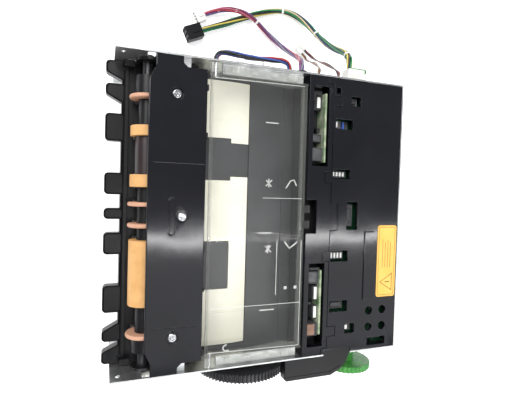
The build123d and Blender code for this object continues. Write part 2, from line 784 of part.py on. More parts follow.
def board_parts():
    """Chips, headers and cans on the main board, seen through the cover's windows."""
    places = [
        (168.5, 174.5, 71.8, 77.8, 4.5),
        (176.0, 182.5, 71.5, 78.0, 6.5),
        (167.5, 181.5, 32.0, 37.5, 5.5),
        (182.0, 189.5, -8.0, 10.0, 6.0),
        (168.0, 181.0, -35.0, -28.5, 5.0),
        (168.5, 182.0, -76.0, -69.5, 5.0),
        (183.0, 190.0, -95.0, -89.0, 4.5),
        (182.5, 189.5, 91.0, 97.0, 4.5),
        (205.5, 221.0, -104.5, -100.5, 5.0),
        (196.0, 216.0, 30.0, 50.0, 7.4),
        (198.0, 212.0, 62.0, 76.0, 7.6),
    ]
    return group(block(back(x0), back(x1), y0, y1, down(9.0), down(depth)) for x0, x1, y0, y1, depth in places)


def warning_label():
    """Thin yellow label in the rear cover's recess."""
    return block(label_box[0] + 0.3, label_box[1], label_box[2], label_box[3], down(0.3), down(0.05))


# ---- wiring ----
def corner_radii(points):
    """Largest sensible bend at each inner point of a cord's route."""
    radii = []
    for before, here, after in zip(points, points[1:], points[2:]):
        first = Vector(*here) - Vector(*before)
        second = Vector(*after) - Vector(*here)
        half_turn = math.radians(first.get_angle(second)) / 2
        radii.append(0.45 * min(first.length, second.length) / math.tan(half_turn))
    return radii


def cord(name, points, radius):
    """Round cord along straight runs joined by tangent arcs."""
    radii = corner_radii(points)
    path = FilletPolyline(*points, radius=radii)
    start = Plane(origin=path @ 0, z_dir=path % 0)
    tube = sweep(start * Circle(radius), path=path)
    expected = math.pi * radius**2 * path.length
    print(name, "length", round(path.length, 1), "radii", [round(value, 1) for value in radii])
    print(name, "volume over section times length", round(tube.volume / expected, 4))
    return tube


def plug_end(centre, turn, distance, across=0.0):
    """Place so far along a plug's wire direction from its centre, and so far across it."""
    angle = math.radians(turn)
    x = centre[0] + distance * math.cos(angle) - across * math.sin(angle)
    y = centre[1] + distance * math.sin(angle) + across * math.cos(angle)
    return (x, y, centre[2])


main_plug_centre, main_plug_turn, main_plug_length = (-47.1, 163.1, 5.0), 24.0, 15.0
aux_plug_centre, aux_plug_turn, aux_plug_length = (-41.2, 179.8, 3.0), 28.0, 9.0
lead_plug_centre, lead_plug_turn, lead_plug_length = (62.9, 165.1, 4.0), -38.0, 8.0
lead_spread = 2.5

main_route = [
    plug_end(main_plug_centre, main_plug_turn, main_plug_length / 2),
    plug_end(main_plug_centre, main_plug_turn, main_plug_length / 2 + 13),
    (-10.5, 180.0, 3.2),
    (8.0, 189.0, 3.1),
    (26.0, 196.3, 3.1),
    (43.0, 200.2, 3.1),
    (58.5, 197.0, 4.5),
    (69.0, 187.0, 9.5),
    (75.0, 173.0, 20.0),
    (77.0, 160.5, 35.0),
    (76.3, 150.5, 52.0),
    (74.4, 143.0, 68.5),
    (72.3, 135.0, 79.0),
    (71.0, 130.0, 82.0),
    (71.0, 123.0, 82.0),
]
aux_route = [
    plug_end(aux_plug_centre, aux_plug_turn, aux_plug_length / 2),
    plug_end(aux_plug_centre, aux_plug_turn, aux_plug_length / 2 + 9),
    (-18.0, 189.8, 5.8),
    (-4.5, 189.0, 9.6),
    (9.0, 184.5, 9.6),
    (21.0, 178.2, 4.9),
    (33.0, 170.2, 3.4),
    (41.5, 160.5, 10.0),
    (43.5, 150.5, 25.0),
    (40.5, 142.0, 43.0),
    (34.5, 134.0, 61.0),
    (28.5, 127.5, 76.0),
    (24.8, 122.5, 84.0),
    (24.0, 119.0, 86.0),
    (24.0, 115.5, 86.0),
]
lead_route_front = [
    plug_end(lead_plug_centre, lead_plug_turn, lead_plug_length / 2, -lead_spread),
    plug_end(lead_plug_centre, lead_plug_turn, lead_plug_length / 2 + 5, -lead_spread),
    (67.3, 153.0, 9.0),
    (64.3, 148.0, 20.0),
    (60.0, 142.5, 34.0),
    (54.5, 136.2, 50.0),
    (49.0, 129.5, 65.5),
    (45.0, 123.5, 77.0),
    (42.5, 119.5, 81.5),
    (42.0, 117.0, 82.0),
    (42.0, 114.5, 82.0),
]
lead_route_rear = [
    plug_end(lead_plug_centre, lead_plug_turn, lead_plug_length / 2, lead_spread),
    plug_end(lead_plug_centre, lead_plug_turn, lead_plug_length / 2 + 6, lead_spread),
    (74.5, 155.5, 10.0),
    (73.0, 149.5, 21.0),
    (69.5, 143.0, 36.0),
    (66.0, 136.5, 51.5),
    (63.0, 129.5, 66.0),
    (60.8, 123.5, 77.5),
    (59.8, 119.5, 83.0),
    (59.5, 117.0, 84.0),
    (59.5, 114.5, 84.0),
]
side_route = [
    (back(70.0), 113.5, down(9.0)),
    (back(70.0), 118.5, down(9.0)),
    (back(76.0), 121.0, down(8.0)),
    (back(88.0), 119.5, down(7.0)),
    (back(102.0), 118.5, down(5.5)),
    (back(114.0), 119.5, down(5.0)),
    (back(124.0), 120.5, down(7.0)),
    (back(129.5), 118.0, down(8.5)),
    (back(129.5), 113.5, down(8.5)),
]
main_radius, aux_radius, lead_radius, side_radius = 3.0, 2.4, 1.5, 2.2


def plug(centre, turn, length, width, height, ways, rows):
    """Wire-to-wire housing lying flat, with its contact cavities at the far end."""
    body = Box(length, width, height)
    body = fillet(body.edges().filter_by(Axis.X), 0.6)
    step_y, step_z = width / ways, height / rows
    for column in range(ways):
        for row in range(rows):
            y = (column - (ways - 1) / 2) * step_y
            z = (row - (rows - 1) / 2) * step_z
            body -= Pos(-length / 2, y, z) * Box(length, step_y - 1.3, step_z - 1.3)
    body += Pos(length * 0.12, 0, height / 2 + 0.4) * Box(length * 0.5, width * 0.22, 1.0)
    return Pos(*centre) * Rot(0, 0, turn) * body


def harness_header():
    """White header on the side plate that the main cable runs into."""
    shell = block(back(183.1), back(199.0), outer_half, 123.0, down(19.0), down(8.0))
    shell = fillet(shell.edges().filter_by(Axis.Y), 0.8)
    shell -= block(back(192.0), back(197.5), 117.0, 124.0, down(17.5), down(9.5))
    return shell


def cable_grommets():
    """Rubber grommets where the other cables go through the side plate."""
    pieces = []
    ends = [(aux_route[-1], 4.2), (lead_route_front[-1], 3.0), (lead_route_rear[-1], 3.0)]
    ends += [(side_route[0], 3.8), (side_route[-1], 3.8)]
    for (x, y, z), radius in ends:
        pieces.append(rod((x, z), outer_half, y, radius))
    return group(pieces)


def harness_clips():
    """White clips that hold the side harness against the plate."""
    pieces = []
    for distance, y, depth in ((88.0, 119.4, 7.0), (108.0, 119.0, 5.25)):
        x = back(distance)
        foot = block(x - 2.5, x + 2.5, outer_half, y - side_radius - 0.4, down(depth + 3.0), down(depth - 3.0))
        pieces.append(foot)
    return group(pieces)


# ---- write every node ----
feed_pinch_axis, mid_pinch_axis, exit_pinch_axis = feed_pinch_axes

nodes = {
    "side_plate_left": side_plate(1),
    "side_plate_right": side_plate(-1),
    "base_plate": base_plate(),
    "rear_plate": rear_plate(),
    "tie_rods": tie_rods(),
    "screws": screws(),
    "entry_comb": entry_comb(),
    "entry_guide": entry_guide(),
    "lower_guide_cream": lower_guide_cream(),
    "lower_guide_dark": lower_guide_dark(),
    "rear_lower_guide": rear_lower_guide(),
    "front_cover": front_cover(),
    "cover_beam": cover_beam(),
    "shaft_bearings": shaft_bearings(),
    "hinge_pins": hinge_pins(),
    "sensor_bridge": sensor_bridge(),
    "upper_image_sensor": upper_image_sensor(),
    "lower_image_sensor": lower_image_sensor(),
    "sensor_boards": sensor_boards(),
    "sensor_connectors": sensor_connectors(),
    "rear_cover": rear_cover(),
    "main_board": main_board(),
    "board_parts": board_parts(),
    "warning_label": warning_label(),
    "gear_guard": gear_guard(),
    "gear_axles": gear_axles(),
    "drive_motor": drive_motor(),
    "harness_header": harness_header(),
    "cable_grommets": cable_grommets(),
    "harness_clips": harness_clips(),
    "side_harness": cord("side_harness", side_route, side_radius),
    "main_cable": cord("main_cable", main_route, main_radius),
    "main_cable_plug": plug(main_plug_centre, main_plug_turn, main_plug_length, 12.6, 10.0, 3, 2),
    "aux_cable": cord("aux_cable", aux_route, aux_radius),
    "aux_cable_plug": plug(aux_plug_centre, aux_plug_turn, aux_plug_length, 11.0, 6.0, 4, 1),
    "sensor_leads": group(
        [
            cord("sensor_lead_front", lead_route_front, lead_radius),
            cord("sensor_lead_rear", lead_route_rear, lead_radius),
        ]
    ),
    "sensor_lead_plug": plug(lead_plug_centre, lead_plug_turn, lead_plug_length, 10.5, 6.0, 4, 1),
    "window_guide": window_guide(),
    "entry_shaft": roller_shaft(entry_axis, gear_end_y),
    "entry_rollers": entry_rollers(),
    "entry_rings": entry_rings(),
    "entry_sleeve": entry_sleeve(),
    "entry_hubs": entry_hubs(),
    "entry_gear": shaft_gear(entry_axis, entry_teeth, entry_phase),
    "feed_roller_shaft": feed_roller_set(feed_axis),
    "feed_gear": shaft_gear(feed_axis, feed_teeth, feed_phase),
    "mid_roller_shaft": feed_roller_set(mid_axis),
    "mid_gear": shaft_gear(mid_axis, mid_teeth, mid_phase),
    "exit_roller_shaft": feed_roller_set(exit_axis),
    "exit_gear": shaft_gear(exit_axis, exit_teeth, exit_phase),
    "entry_pinch_rollers": pinch_set(entry_pinch_axis, entry_pinch_bands, entry_pinch_radius),
    "feed_pinch_rollers": pinch_set(feed_pinch_axis, feed_bands, feed_pinch_radius),
    "mid_pinch_rollers": pinch_set(mid_pinch_axis, feed_bands, feed_pinch_radius),
    "exit_pinch_rollers": pinch_set(exit_pinch_axis, feed_bands, feed_pinch_radius),
    "drive_gear": drive_gear(),
    "front_idler_gear": inner_gear(front_idler_axis, front_idler_teeth, front_idler_phase),
    "entry_idler_gear": inner_gear(entry_idler_axis, entry_idler_teeth, entry_idler_phase),
    "rear_idler_gear": inner_gear(rear_idler_axis, rear_idler_teeth, rear_idler_phase),
    "motor_pinion": motor_pinion(),
    "hand_wheel": hand_wheel(),
}

os.makedirs("parts", exist_ok=True)
for name, shape in nodes.items():
    export_step(shape, f"parts/{name}.step")
print(len(nodes), "nodes written")
for name, axis in (
    ("entry", entry_axis), ("feed", feed_axis), ("mid", mid_axis), ("exit", exit_axis),
    ("drive", drive_axis), ("motor", motor_axis), ("front idler", front_idler_axis),
    ("entry idler", entry_idler_axis), ("rear idler", rear_idler_axis), ("wheel", wheel_axis),
    ("window hinge", hinge_axis), ("entry pinch", entry_pinch_axis),
):
    print(name, "axis x, z", [round(value, 4) for value in axis])
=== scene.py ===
# %% [markdown]
# # A banknote validator, finished around its working frame
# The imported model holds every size. This lesson loads it, gives each piece the skin of the real
# thing, and adds the small moulded and wired details that a working model leaves out.
# Everything is in metres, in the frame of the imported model.

# %% Load the frame
import json
import math
import bmesh
import bpy
from mathutils import Matrix, Vector

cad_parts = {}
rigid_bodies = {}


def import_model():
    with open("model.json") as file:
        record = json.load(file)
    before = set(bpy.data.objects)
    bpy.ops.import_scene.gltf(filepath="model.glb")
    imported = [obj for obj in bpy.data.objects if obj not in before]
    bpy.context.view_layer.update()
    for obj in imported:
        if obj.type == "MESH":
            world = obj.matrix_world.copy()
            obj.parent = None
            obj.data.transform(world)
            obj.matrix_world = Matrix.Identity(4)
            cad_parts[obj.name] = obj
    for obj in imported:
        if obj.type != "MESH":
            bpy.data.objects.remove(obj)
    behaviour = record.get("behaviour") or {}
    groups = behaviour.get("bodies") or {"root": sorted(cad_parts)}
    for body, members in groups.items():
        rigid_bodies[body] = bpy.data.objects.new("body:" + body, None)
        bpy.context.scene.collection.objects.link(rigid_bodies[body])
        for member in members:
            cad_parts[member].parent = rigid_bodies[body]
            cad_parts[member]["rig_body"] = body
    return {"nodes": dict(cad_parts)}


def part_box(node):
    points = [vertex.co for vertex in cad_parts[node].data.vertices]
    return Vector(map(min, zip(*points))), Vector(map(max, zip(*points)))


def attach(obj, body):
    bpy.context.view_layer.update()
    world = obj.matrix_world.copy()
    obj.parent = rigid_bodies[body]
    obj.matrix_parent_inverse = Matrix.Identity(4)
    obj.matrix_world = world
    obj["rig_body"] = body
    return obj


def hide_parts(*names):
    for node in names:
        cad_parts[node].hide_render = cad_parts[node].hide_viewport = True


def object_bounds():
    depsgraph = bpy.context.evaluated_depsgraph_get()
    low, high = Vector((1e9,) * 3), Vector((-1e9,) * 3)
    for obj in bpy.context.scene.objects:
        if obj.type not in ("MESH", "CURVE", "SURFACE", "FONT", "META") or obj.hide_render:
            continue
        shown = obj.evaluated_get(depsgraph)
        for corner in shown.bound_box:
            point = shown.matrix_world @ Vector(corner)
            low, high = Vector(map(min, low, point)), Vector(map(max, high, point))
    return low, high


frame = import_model()
frame_low, frame_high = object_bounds()
scene = bpy.context.scene

# %% [markdown]
# ## Measuring from the side plates
# On the real module everything is fixed between two sheet metal side plates, so places are given
# as a distance behind their front edge and a depth below their top edge, in millimetres.

# %% Places on the module
mm = 0.001
plate_low, plate_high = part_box("side_plate_left")
front_x, top_z, outer_half = plate_low.x, plate_high.z, plate_high.y


def back(distance):
    """X so many millimetres behind the side plates' front edge."""
    return front_x + distance * mm


def down(depth):
    """Z so many millimetres below the side plates' top edge."""
    return top_z - depth * mm


print("plates from", round(front_x, 4), "top at", round(top_z, 4), "half width", round(outer_half, 4))

# %% [markdown]
# ## The camera
# The module is looked at from above its entry end. The lens is a wide one held close, so the near
# comb looks larger than the far edge.

# %% Camera
camera_data = bpy.data.cameras.new("camera")
camera_data.lens, camera_data.sensor_width = 28.51, 36.0
camera = bpy.data.objects.new("camera", camera_data)
scene.collection.objects.link(camera)
camera_right = Vector((0.93786, 0.02775, 0.34591))
camera_up = Vector((-0.01668, 0.99925, -0.03493))
camera_back = Vector((-0.34662, 0.02699, 0.93762))
camera.matrix_world = Matrix((camera_right, camera_up, camera_back)).transposed().to_4x4()
camera.location = (-0.12131, 0.02058, 0.37473)
scene.camera = camera
print("camera at", [round(value, 3) for value in camera.location])

# %% [markdown]
# ## Floor and light
# A pale floor and soft lights, as in a product studio. Glossy black plastic shows its shape only
# by what it mirrors, so one long narrow light is placed where the covers mirror it as a streak,
# and a dim panel beside it lifts one half of them.

# %% Floor and lights
scene.view_settings.view_transform = "Standard"


def clear_selection():
    """Object mode with nothing selected."""
    if bpy.context.object and bpy.context.object.mode != "OBJECT":
        bpy.ops.object.mode_set(mode="OBJECT")
    bpy.ops.object.select_all(action="DESELECT")


clear_selection()
bpy.ops.mesh.primitive_plane_add(size=4.0, location=(0.0, 0.0, frame_low.z - 0.0004))
floor = bpy.context.object
floor.name = "floor"
floor_finish = bpy.data.materials.new("studio_floor")
floor_finish.use_nodes = True
floor_shader = floor_finish.node_tree.nodes["Principled BSDF"]
floor_shader.inputs["Base Color"].default_value = (0.93, 0.93, 0.94, 1)
floor_shader.inputs["Roughness"].default_value = 0.9
floor_shader.inputs["Emission Color"].default_value = (1, 1, 1, 1)
floor_shader.inputs["Emission Strength"].default_value = 0.42
floor.data.materials.append(floor_finish)


def studio_light(name, place, aim, width, length, power):
    """Rectangular soft light at a place, turned towards a point, with its width along X."""
    data = bpy.data.lights.new(name, "AREA")
    data.shape, data.size, data.size_y, data.energy = "RECTANGLE", width, length, power
    lamp = bpy.data.objects.new(name, data)
    scene.collection.objects.link(lamp)
    back_axis = (Vector(place) - Vector(aim)).normalized()
    right_axis = Vector((1, 0, 0))
    right_axis = (right_axis - right_axis.dot(back_axis) * back_axis).normalized()
    turn = Matrix((right_axis, back_axis.cross(right_axis), back_axis)).transposed().to_4x4()
    lamp.matrix_world = Matrix.Translation(place) @ turn
    return lamp


studio_light("key_light", (-0.7, 0.9, 1.5), (0, 0, 0.05), 1.1, 1.1, 34)
studio_light("fill_light", (0.5, -1.2, 1.1), (0, 0, 0.05), 1.4, 0.9, 18)
mirrored_x, mirrored_z = 0.4, 1.05
for name, y, length, power in (("streak_light", -0.142, 0.03, 3.2), ("panel_light", -0.38, 0.34, 1.2)):
    studio_light(name, (mirrored_x, y, mirrored_z), (mirrored_x, y, 0), 1.5, length, power)
world = bpy.data.worlds.new("studio")
scene.world = world
world.use_nodes = True
world.node_tree.nodes["Background"].inputs["Color"].default_value = (0.92, 0.95, 1.0, 1)
world.node_tree.nodes["Background"].inputs["Strength"].default_value = 0.34

# %% [markdown]
# ## Finishes
# Each material is built from nodes: a noise read in object coordinates varies the colour and the
# gloss, and a finer one gives the surface its grain. Values that stay the same all over are set
# on the shader itself. One helper builds the pattern that most plastics and metals share.

# %% A helper for finishes
def finish_of(name, dark, light, gloss, patch=60.0, grain=1500.0, relief=0.15, depth=0.00005, **settings):
    """Material whose colour runs from dark to light and whose roughness runs over gloss."""
    material = bpy.data.materials.new(name)
    material.use_nodes = True
    nodes, links = material.node_tree.nodes, material.node_tree.links
    shader = nodes["Principled BSDF"]
    for socket, value in settings.items():
        shader.inputs[socket.replace("_", " ")].default_value = value
    places = nodes.new("ShaderNodeTexCoord")
    patches = nodes.new("ShaderNodeTexNoise")
    patches.inputs["Scale"].default_value, patches.inputs["Detail"].default_value = patch, 5
    links.new(places.outputs["Object"], patches.inputs["Vector"])
    ramp = nodes.new("ShaderNodeValToRGB")
    ramp.color_ramp.elements[0].position, ramp.color_ramp.elements[1].position = 0.3, 0.7
    ramp.color_ramp.elements[0].color, ramp.color_ramp.elements[1].color = (*dark, 1), (*light, 1)
    links.new(patches.outputs["Fac"], ramp.inputs["Fac"])
    links.new(ramp.outputs["Color"], shader.inputs["Base Color"])
    grains = nodes.new("ShaderNodeTexNoise")
    grains.inputs["Scale"].default_value, grains.inputs["Detail"].default_value = grain, 3
    links.new(places.outputs["Object"], grains.inputs["Vector"])
    spread = nodes.new("ShaderNodeMapRange")
    spread.inputs["From Min"].default_value, spread.inputs["From Max"].default_value = 0.3, 0.7
    spread.inputs["To Min"].default_value, spread.inputs["To Max"].default_value = gloss
    links.new(grains.outputs["Fac"], spread.inputs["Value"])
    links.new(spread.outputs["Result"], shader.inputs["Roughness"])
    bump = nodes.new("ShaderNodeBump")
    bump.inputs["Strength"].default_value, bump.inputs["Distance"].default_value = relief, depth
    links.new(grains.outputs["Fac"], bump.inputs["Height"])
    links.new(bump.outputs["Normal"], shader.inputs["Normal"])
    return material


def add_waves(material, scale, strength, depth):
    """Slow waves under the grain, such as the sink of a large moulding, so that its streaks bend."""
    nodes, links = material.node_tree.nodes, material.node_tree.links
    grain_bump = next(node for node in nodes if node.type == "BUMP")
    places = next(node for node in nodes if node.type == "TEX_COORD")
    waves = nodes.new("ShaderNodeTexNoise")
    waves.inputs["Scale"].default_value, waves.inputs["Detail"].default_value = scale, 1.0
    links.new(places.outputs["Object"], waves.inputs["Vector"])
    slow = nodes.new("ShaderNodeBump")
    slow.inputs["Strength"].default_value, slow.inputs["Distance"].default_value = strength, depth
    links.new(waves.outputs["Fac"], slow.inputs["Height"])
    links.new(slow.outputs["Normal"], grain_bump.inputs["Normal"])
    return material


# %% [markdown]
# ## Metals
# The side plates are zinc plated sheet: pale grey with a cloudy spangle and fine scratches. The
# shafts and screws are bright steel, smoother and a little darker.

# %% Metals
zinc = finish_of(
    "zinc_plate", (0.46, 0.47, 0.47), (0.66, 0.67, 0.66), (0.3, 0.48), 90, 900, 0.1, Metallic=1.0,
)
steel = finish_of(
    "bright_steel", (0.48, 0.48, 0.49), (0.62, 0.62, 0.63), (0.16, 0.3), 200, 2500, 0.08, Metallic=1.0,
)
dark_steel = finish_of(
    "blackened_steel", (0.008, 0.008, 0.009), (0.016, 0.016, 0.018), (0.25, 0.4), 200, 2500, 0.08,
)
motor_metal = finish_of(
    "motor_can", (0.3, 0.3, 0.31), (0.4, 0.4, 0.41), (0.3, 0.45), 120, 1800, Metallic=1.0,
)

# %% [markdown]
# ## Black plastics
# The comb and the guard are moulded with a fine satin grain. The covers are polished, and their
# large thin walls have sunk a little as they cooled, which bends every reflection.

# %% Black plastics
satin_black = finish_of(
    "satin_black", (0.0035, 0.0035, 0.004), (0.007, 0.007, 0.008), (0.3, 0.42), 40, 2600, 0.25,
    Specular_IOR_Level=0.25,
)
polished_black = finish_of(
    "polished_black", (0.004, 0.004, 0.006), (0.007, 0.007, 0.01), (0.08, 0.16), 25, 1800, 0.04,
)
add_waves(polished_black, 22.0, 0.35, 0.0012)
deep_black = finish_of(
    "deep_black", (0.003, 0.003, 0.004), (0.006, 0.006, 0.007), (0.4, 0.55), 50, 2200, 0.2,
)
black_rubber = finish_of(
    "black_rubber", (0.016, 0.016, 0.016), (0.026, 0.026, 0.026), (0.6, 0.75), 80, 1600, 0.3,
)

# %% [markdown]
# ## Coloured plastics and rubbers
# The rollers are tan rubber, a little cloudy, and their rings are pinker. The light guides are
# cream plastic. The hand wheel lets light into itself, so it has some subsurface scattering.

# %% Coloured plastics and rubbers
tan_rubber = finish_of(
    "tan_rubber", (0.62, 0.33, 0.11), (0.72, 0.41, 0.16), (0.5, 0.68), 130, 1400, 0.3,
)
ring_rubber = finish_of(
    "ring_rubber", (0.55, 0.29, 0.18), (0.64, 0.36, 0.24), (0.5, 0.68), 130, 1400, 0.3,
)
brown_tube = finish_of(
    "brown_tube", (0.014, 0.007, 0.008), (0.028, 0.014, 0.015), (0.3, 0.45), 90, 1800, 0.1,
)
hub_plastic = finish_of(
    "hub_plastic", (0.004, 0.004, 0.005), (0.009, 0.009, 0.01), (0.3, 0.45), 90, 1800, 0.1,
    Specular_IOR_Level=0.3,
)
cream = finish_of("cream_guide", (0.76, 0.74, 0.6), (0.84, 0.82, 0.69), (0.3, 0.45), 35, 1500, 0.08)
green_wheel = finish_of(
    "green_wheel", (0.03, 0.17, 0.03), (0.07, 0.3, 0.06), (0.18, 0.32), 90, 1500, 0.08,
    Subsurface_Weight=0.35, Subsurface_Scale=0.004,
)
nylon = finish_of("natural_nylon", (0.74, 0.74, 0.71), (0.85, 0.85, 0.82), (0.32, 0.5), 120, 1500, 0.1)
gear_plastic = finish_of(
    "gear_plastic", (0.022, 0.022, 0.024), (0.036, 0.036, 0.038), (0.32, 0.5), 90, 2000, 0.15,
)
pale_gear = finish_of("pale_gear", (0.66, 0.65, 0.6), (0.76, 0.75, 0.7), (0.35, 0.5), 90, 2000, 0.15)
slate_plastic = finish_of(
    "slate_plastic", (0.022, 0.022, 0.024), (0.038, 0.038, 0.041), (0.3, 0.44), 40, 1600, 0.1,
)

# %% [markdown]
# ## Clear plastic
# The window is thin clear sheet. It is see-through by alpha instead of by bending light, so the
# note path under it stays bright. Its ribs and rims use a paler, less clear version of the same: a
# painted highlight for the light that catches them.

# %% Clear plastic
clear_sheet = finish_of(
    "clear_sheet", (0.5, 0.51, 0.49), (0.6, 0.61, 0.58), (0.03, 0.09), 20, 700, 0.03,
    Alpha=0.03, Specular_IOR_Level=0.8,
)
add_waves(clear_sheet, 14.0, 0.25, 0.001)
# Painted highlight: pale, half-opaque finish standing in for the light caught by the window's front edge
# and its moulded marks.
clear_painted_highlight = finish_of(
    "clear_painted_highlight", (0.62, 0.63, 0.6), (0.86, 0.87, 0.83), (0.1, 0.22), 180, 900, 0.06,
    Alpha=0.5, Specular_IOR_Level=1.0,
)
# Painted highlight: paler and less clear than the sheet, standing in for the light caught by ribs, rims
# and catches.
clear_rim_painted_highlight = finish_of(
    "clear_rim_painted_highlight", (0.52, 0.54, 0.49), (0.72, 0.74, 0.68), (0.06, 0.16), 150, 900, 0.06,
    Alpha=0.2, Specular_IOR_Level=0.9,
)

# %% [markdown]
# ## Circuit board, label and wires
# The board's solder mask is glossy green. Wires have smooth vinyl jackets: one helper makes all
# of them, each with its own colour.

# %% Board, label and wire finishes
board_green = finish_of(
    "solder_mask", (0.004, 0.022, 0.01), (0.008, 0.04, 0.018), (0.2, 0.32), 300, 1800, 0.1,
)
board_edge = finish_of("board_edge", (0.07, 0.16, 0.06), (0.5, 0.52, 0.38), (0.4, 0.55), 160, 1800, 0.1)
chip_black = finish_of(
    "chip_black", (0.02, 0.02, 0.022), (0.035, 0.035, 0.037), (0.35, 0.5), 300, 2000, 0.1,
)
socket_grey = finish_of(
    "socket_grey", (0.05, 0.05, 0.053), (0.09, 0.09, 0.095), (0.35, 0.5), 200, 2000, 0.1,
)
socket_brown = finish_of(
    "socket_brown", (0.16, 0.08, 0.05), (0.24, 0.13, 0.08), (0.35, 0.5), 200, 2000, 0.1,
)
label_yellow = finish_of(
    "label_yellow", (0.82, 0.44, 0.075), (0.88, 0.5, 0.11), (0.35, 0.5), 70, 900, 0.06,
)
label_ink = finish_of("label_ink", (0.16, 0.08, 0.02), (0.24, 0.12, 0.03), (0.45, 0.6), 200, 900, 0.05)
ribbon_blue = finish_of(
    "ribbon_blue", (0.03, 0.08, 0.35), (0.05, 0.13, 0.5), (0.35, 0.5), 300, 1800, 0.1,
)


def jacket(name, colour):
    """Vinyl wire jacket of one colour."""
    shade = tuple(value * 0.75 for value in colour)
    return finish_of("wire_" + name, shade, colour, (0.28, 0.42), 260, 1200, 0.08)


wire_colours = {
    "black": (0.02, 0.02, 0.022),
    "navy": (0.02, 0.03, 0.11),
    "blue": (0.04, 0.09, 0.36),
    "green": (0.02, 0.24, 0.08),
    "dark_green": (0.015, 0.1, 0.06),
    "yellow": (0.72, 0.6, 0.12),
    "cream": (0.75, 0.62, 0.38),
    "violet": (0.13, 0.07, 0.26),
    "purple": (0.2, 0.06, 0.24),
    "red": (0.5, 0.03, 0.05),
    "wine": (0.22, 0.03, 0.06),
    "rose": (0.55, 0.14, 0.22),
    "grey": (0.3, 0.3, 0.33),
    "brown": (0.17, 0.08, 0.045),
    "tan": (0.36, 0.24, 0.14),
}
jackets = {name: jacket(name, colour) for name, colour in wire_colours.items()}
print("materials", len(bpy.data.materials))

# %% [markdown]
# ## Cords come first
# A harness is a bundle of thin wires that run together, twist slowly, and spread a little between
# its ties. Each bundle has one smooth NURBS line through a given route, and every wire is a
# thin tube that winds round that line.

# %% The line of a cord
def smooth_line(route):
    """Points read from a NURBS spline whose control points are the route."""
    curve = bpy.data.curves.new("line", "CURVE")
    curve.dimensions, curve.resolution_u = "3D", 8
    spline = curve.splines.new("NURBS")
    spline.points.add(len(route) - 1)
    for knot, place in zip(spline.points, route):
        knot.co = (*place, 1.0)
    spline.order_u = 3
    spline.use_endpoint_u = True
    holder = bpy.data.objects.new("line", curve)
    scene.collection.objects.link(holder)
    bpy.context.view_layer.update()
    mesh = bpy.data.meshes.new_from_object(holder)
    line = [vertex.co.copy() for vertex in mesh.vertices]
    bpy.data.objects.remove(holder)
    bpy.data.meshes.remove(mesh)
    return line


def frames_along(line):
    """A place, a side and an up at each point of a line, turning as little as they can."""
    found = []
    side = Vector((0, 0, 1)).cross(line[1] - line[0]).normalized()
    for index, place in enumerate(line):
        ahead = (line[min(index + 1, len(line) - 1)] - line[max(index - 1, 0)]).normalized()
        side = (side - ahead * side.dot(ahead)).normalized()
        found.append((place, side, ahead.cross(side)))
    return found


# %% [markdown]
# A wire's tube is laid ring by ring. The bundle is drawn in where a tie holds it and at its ends,
# and is fuller between them.

# %% Bundles of wires
wire_sides = 7


def bundle_share(index, count, ties):
    """How full the bundle is at a point of its line: tight at the ends and ties, loose between."""
    holds = [0, count - 1] + [tie * (count - 1) for tie in ties]
    nearest = min(abs(index - hold) for hold in holds)
    return 0.8 + 0.2 * min(1.0, nearest / 9)


def wire_bundle(name, route, colours, bundle_radius, wire_radius, turns, ties=()):
    """One mesh of wires round a line, each in its own jacket. Returns the piece and its line."""
    line = smooth_line(route)
    frames = frames_along(line)
    count = len(colours)
    vertices, faces, finishes = [], [], []
    for number in range(count):
        reach = (bundle_radius - wire_radius) * (1.0 if number else 0.15)
        first = len(vertices)
        for index, (place, side, up) in enumerate(frames):
            along = index / (len(frames) - 1)
            angle = 2 * math.pi * (number / max(count - 1, 1) + turns * along)
            wander = 1 + 0.1 * math.sin(9 * along * math.pi + 2.1 * number)
            out = reach * bundle_share(index, len(frames), ties) * min(wander, 1.0)
            centre = place + (side * math.cos(angle) + up * math.sin(angle)) * out
            for corner in range(wire_sides):
                turn = 2 * math.pi * corner / wire_sides
                vertices.append(centre + (side * math.cos(turn) + up * math.sin(turn)) * wire_radius)
        for index in range(len(frames) - 1):
            for corner in range(wire_sides):
                here, there = first + index * wire_sides, first + (index + 1) * wire_sides
                following = (corner + 1) % wire_sides
                faces.append((here + corner, here + following, there + following, there + corner))
                finishes.append(number)
        last = first + (len(frames) - 1) * wire_sides
        faces.append(tuple(first + corner for corner in reversed(range(wire_sides))))
        faces.append(tuple(last + corner for corner in range(wire_sides)))
        finishes += [number, number]
    mesh = bpy.data.meshes.new(name)
    mesh.from_pydata(vertices, [], faces)
    for colour in colours:
        mesh.materials.append(jackets[colour])
    mesh.polygons.foreach_set("material_index", finishes)
    mesh.polygons.foreach_set("use_smooth", [True] * len(faces))
    piece = bpy.data.objects.new(name, mesh)
    scene.collection.objects.link(piece)
    return piece, line


def line_length(line):
    """Length of a line of points."""
    return sum((after - before).length for before, after in zip(line, line[1:]))
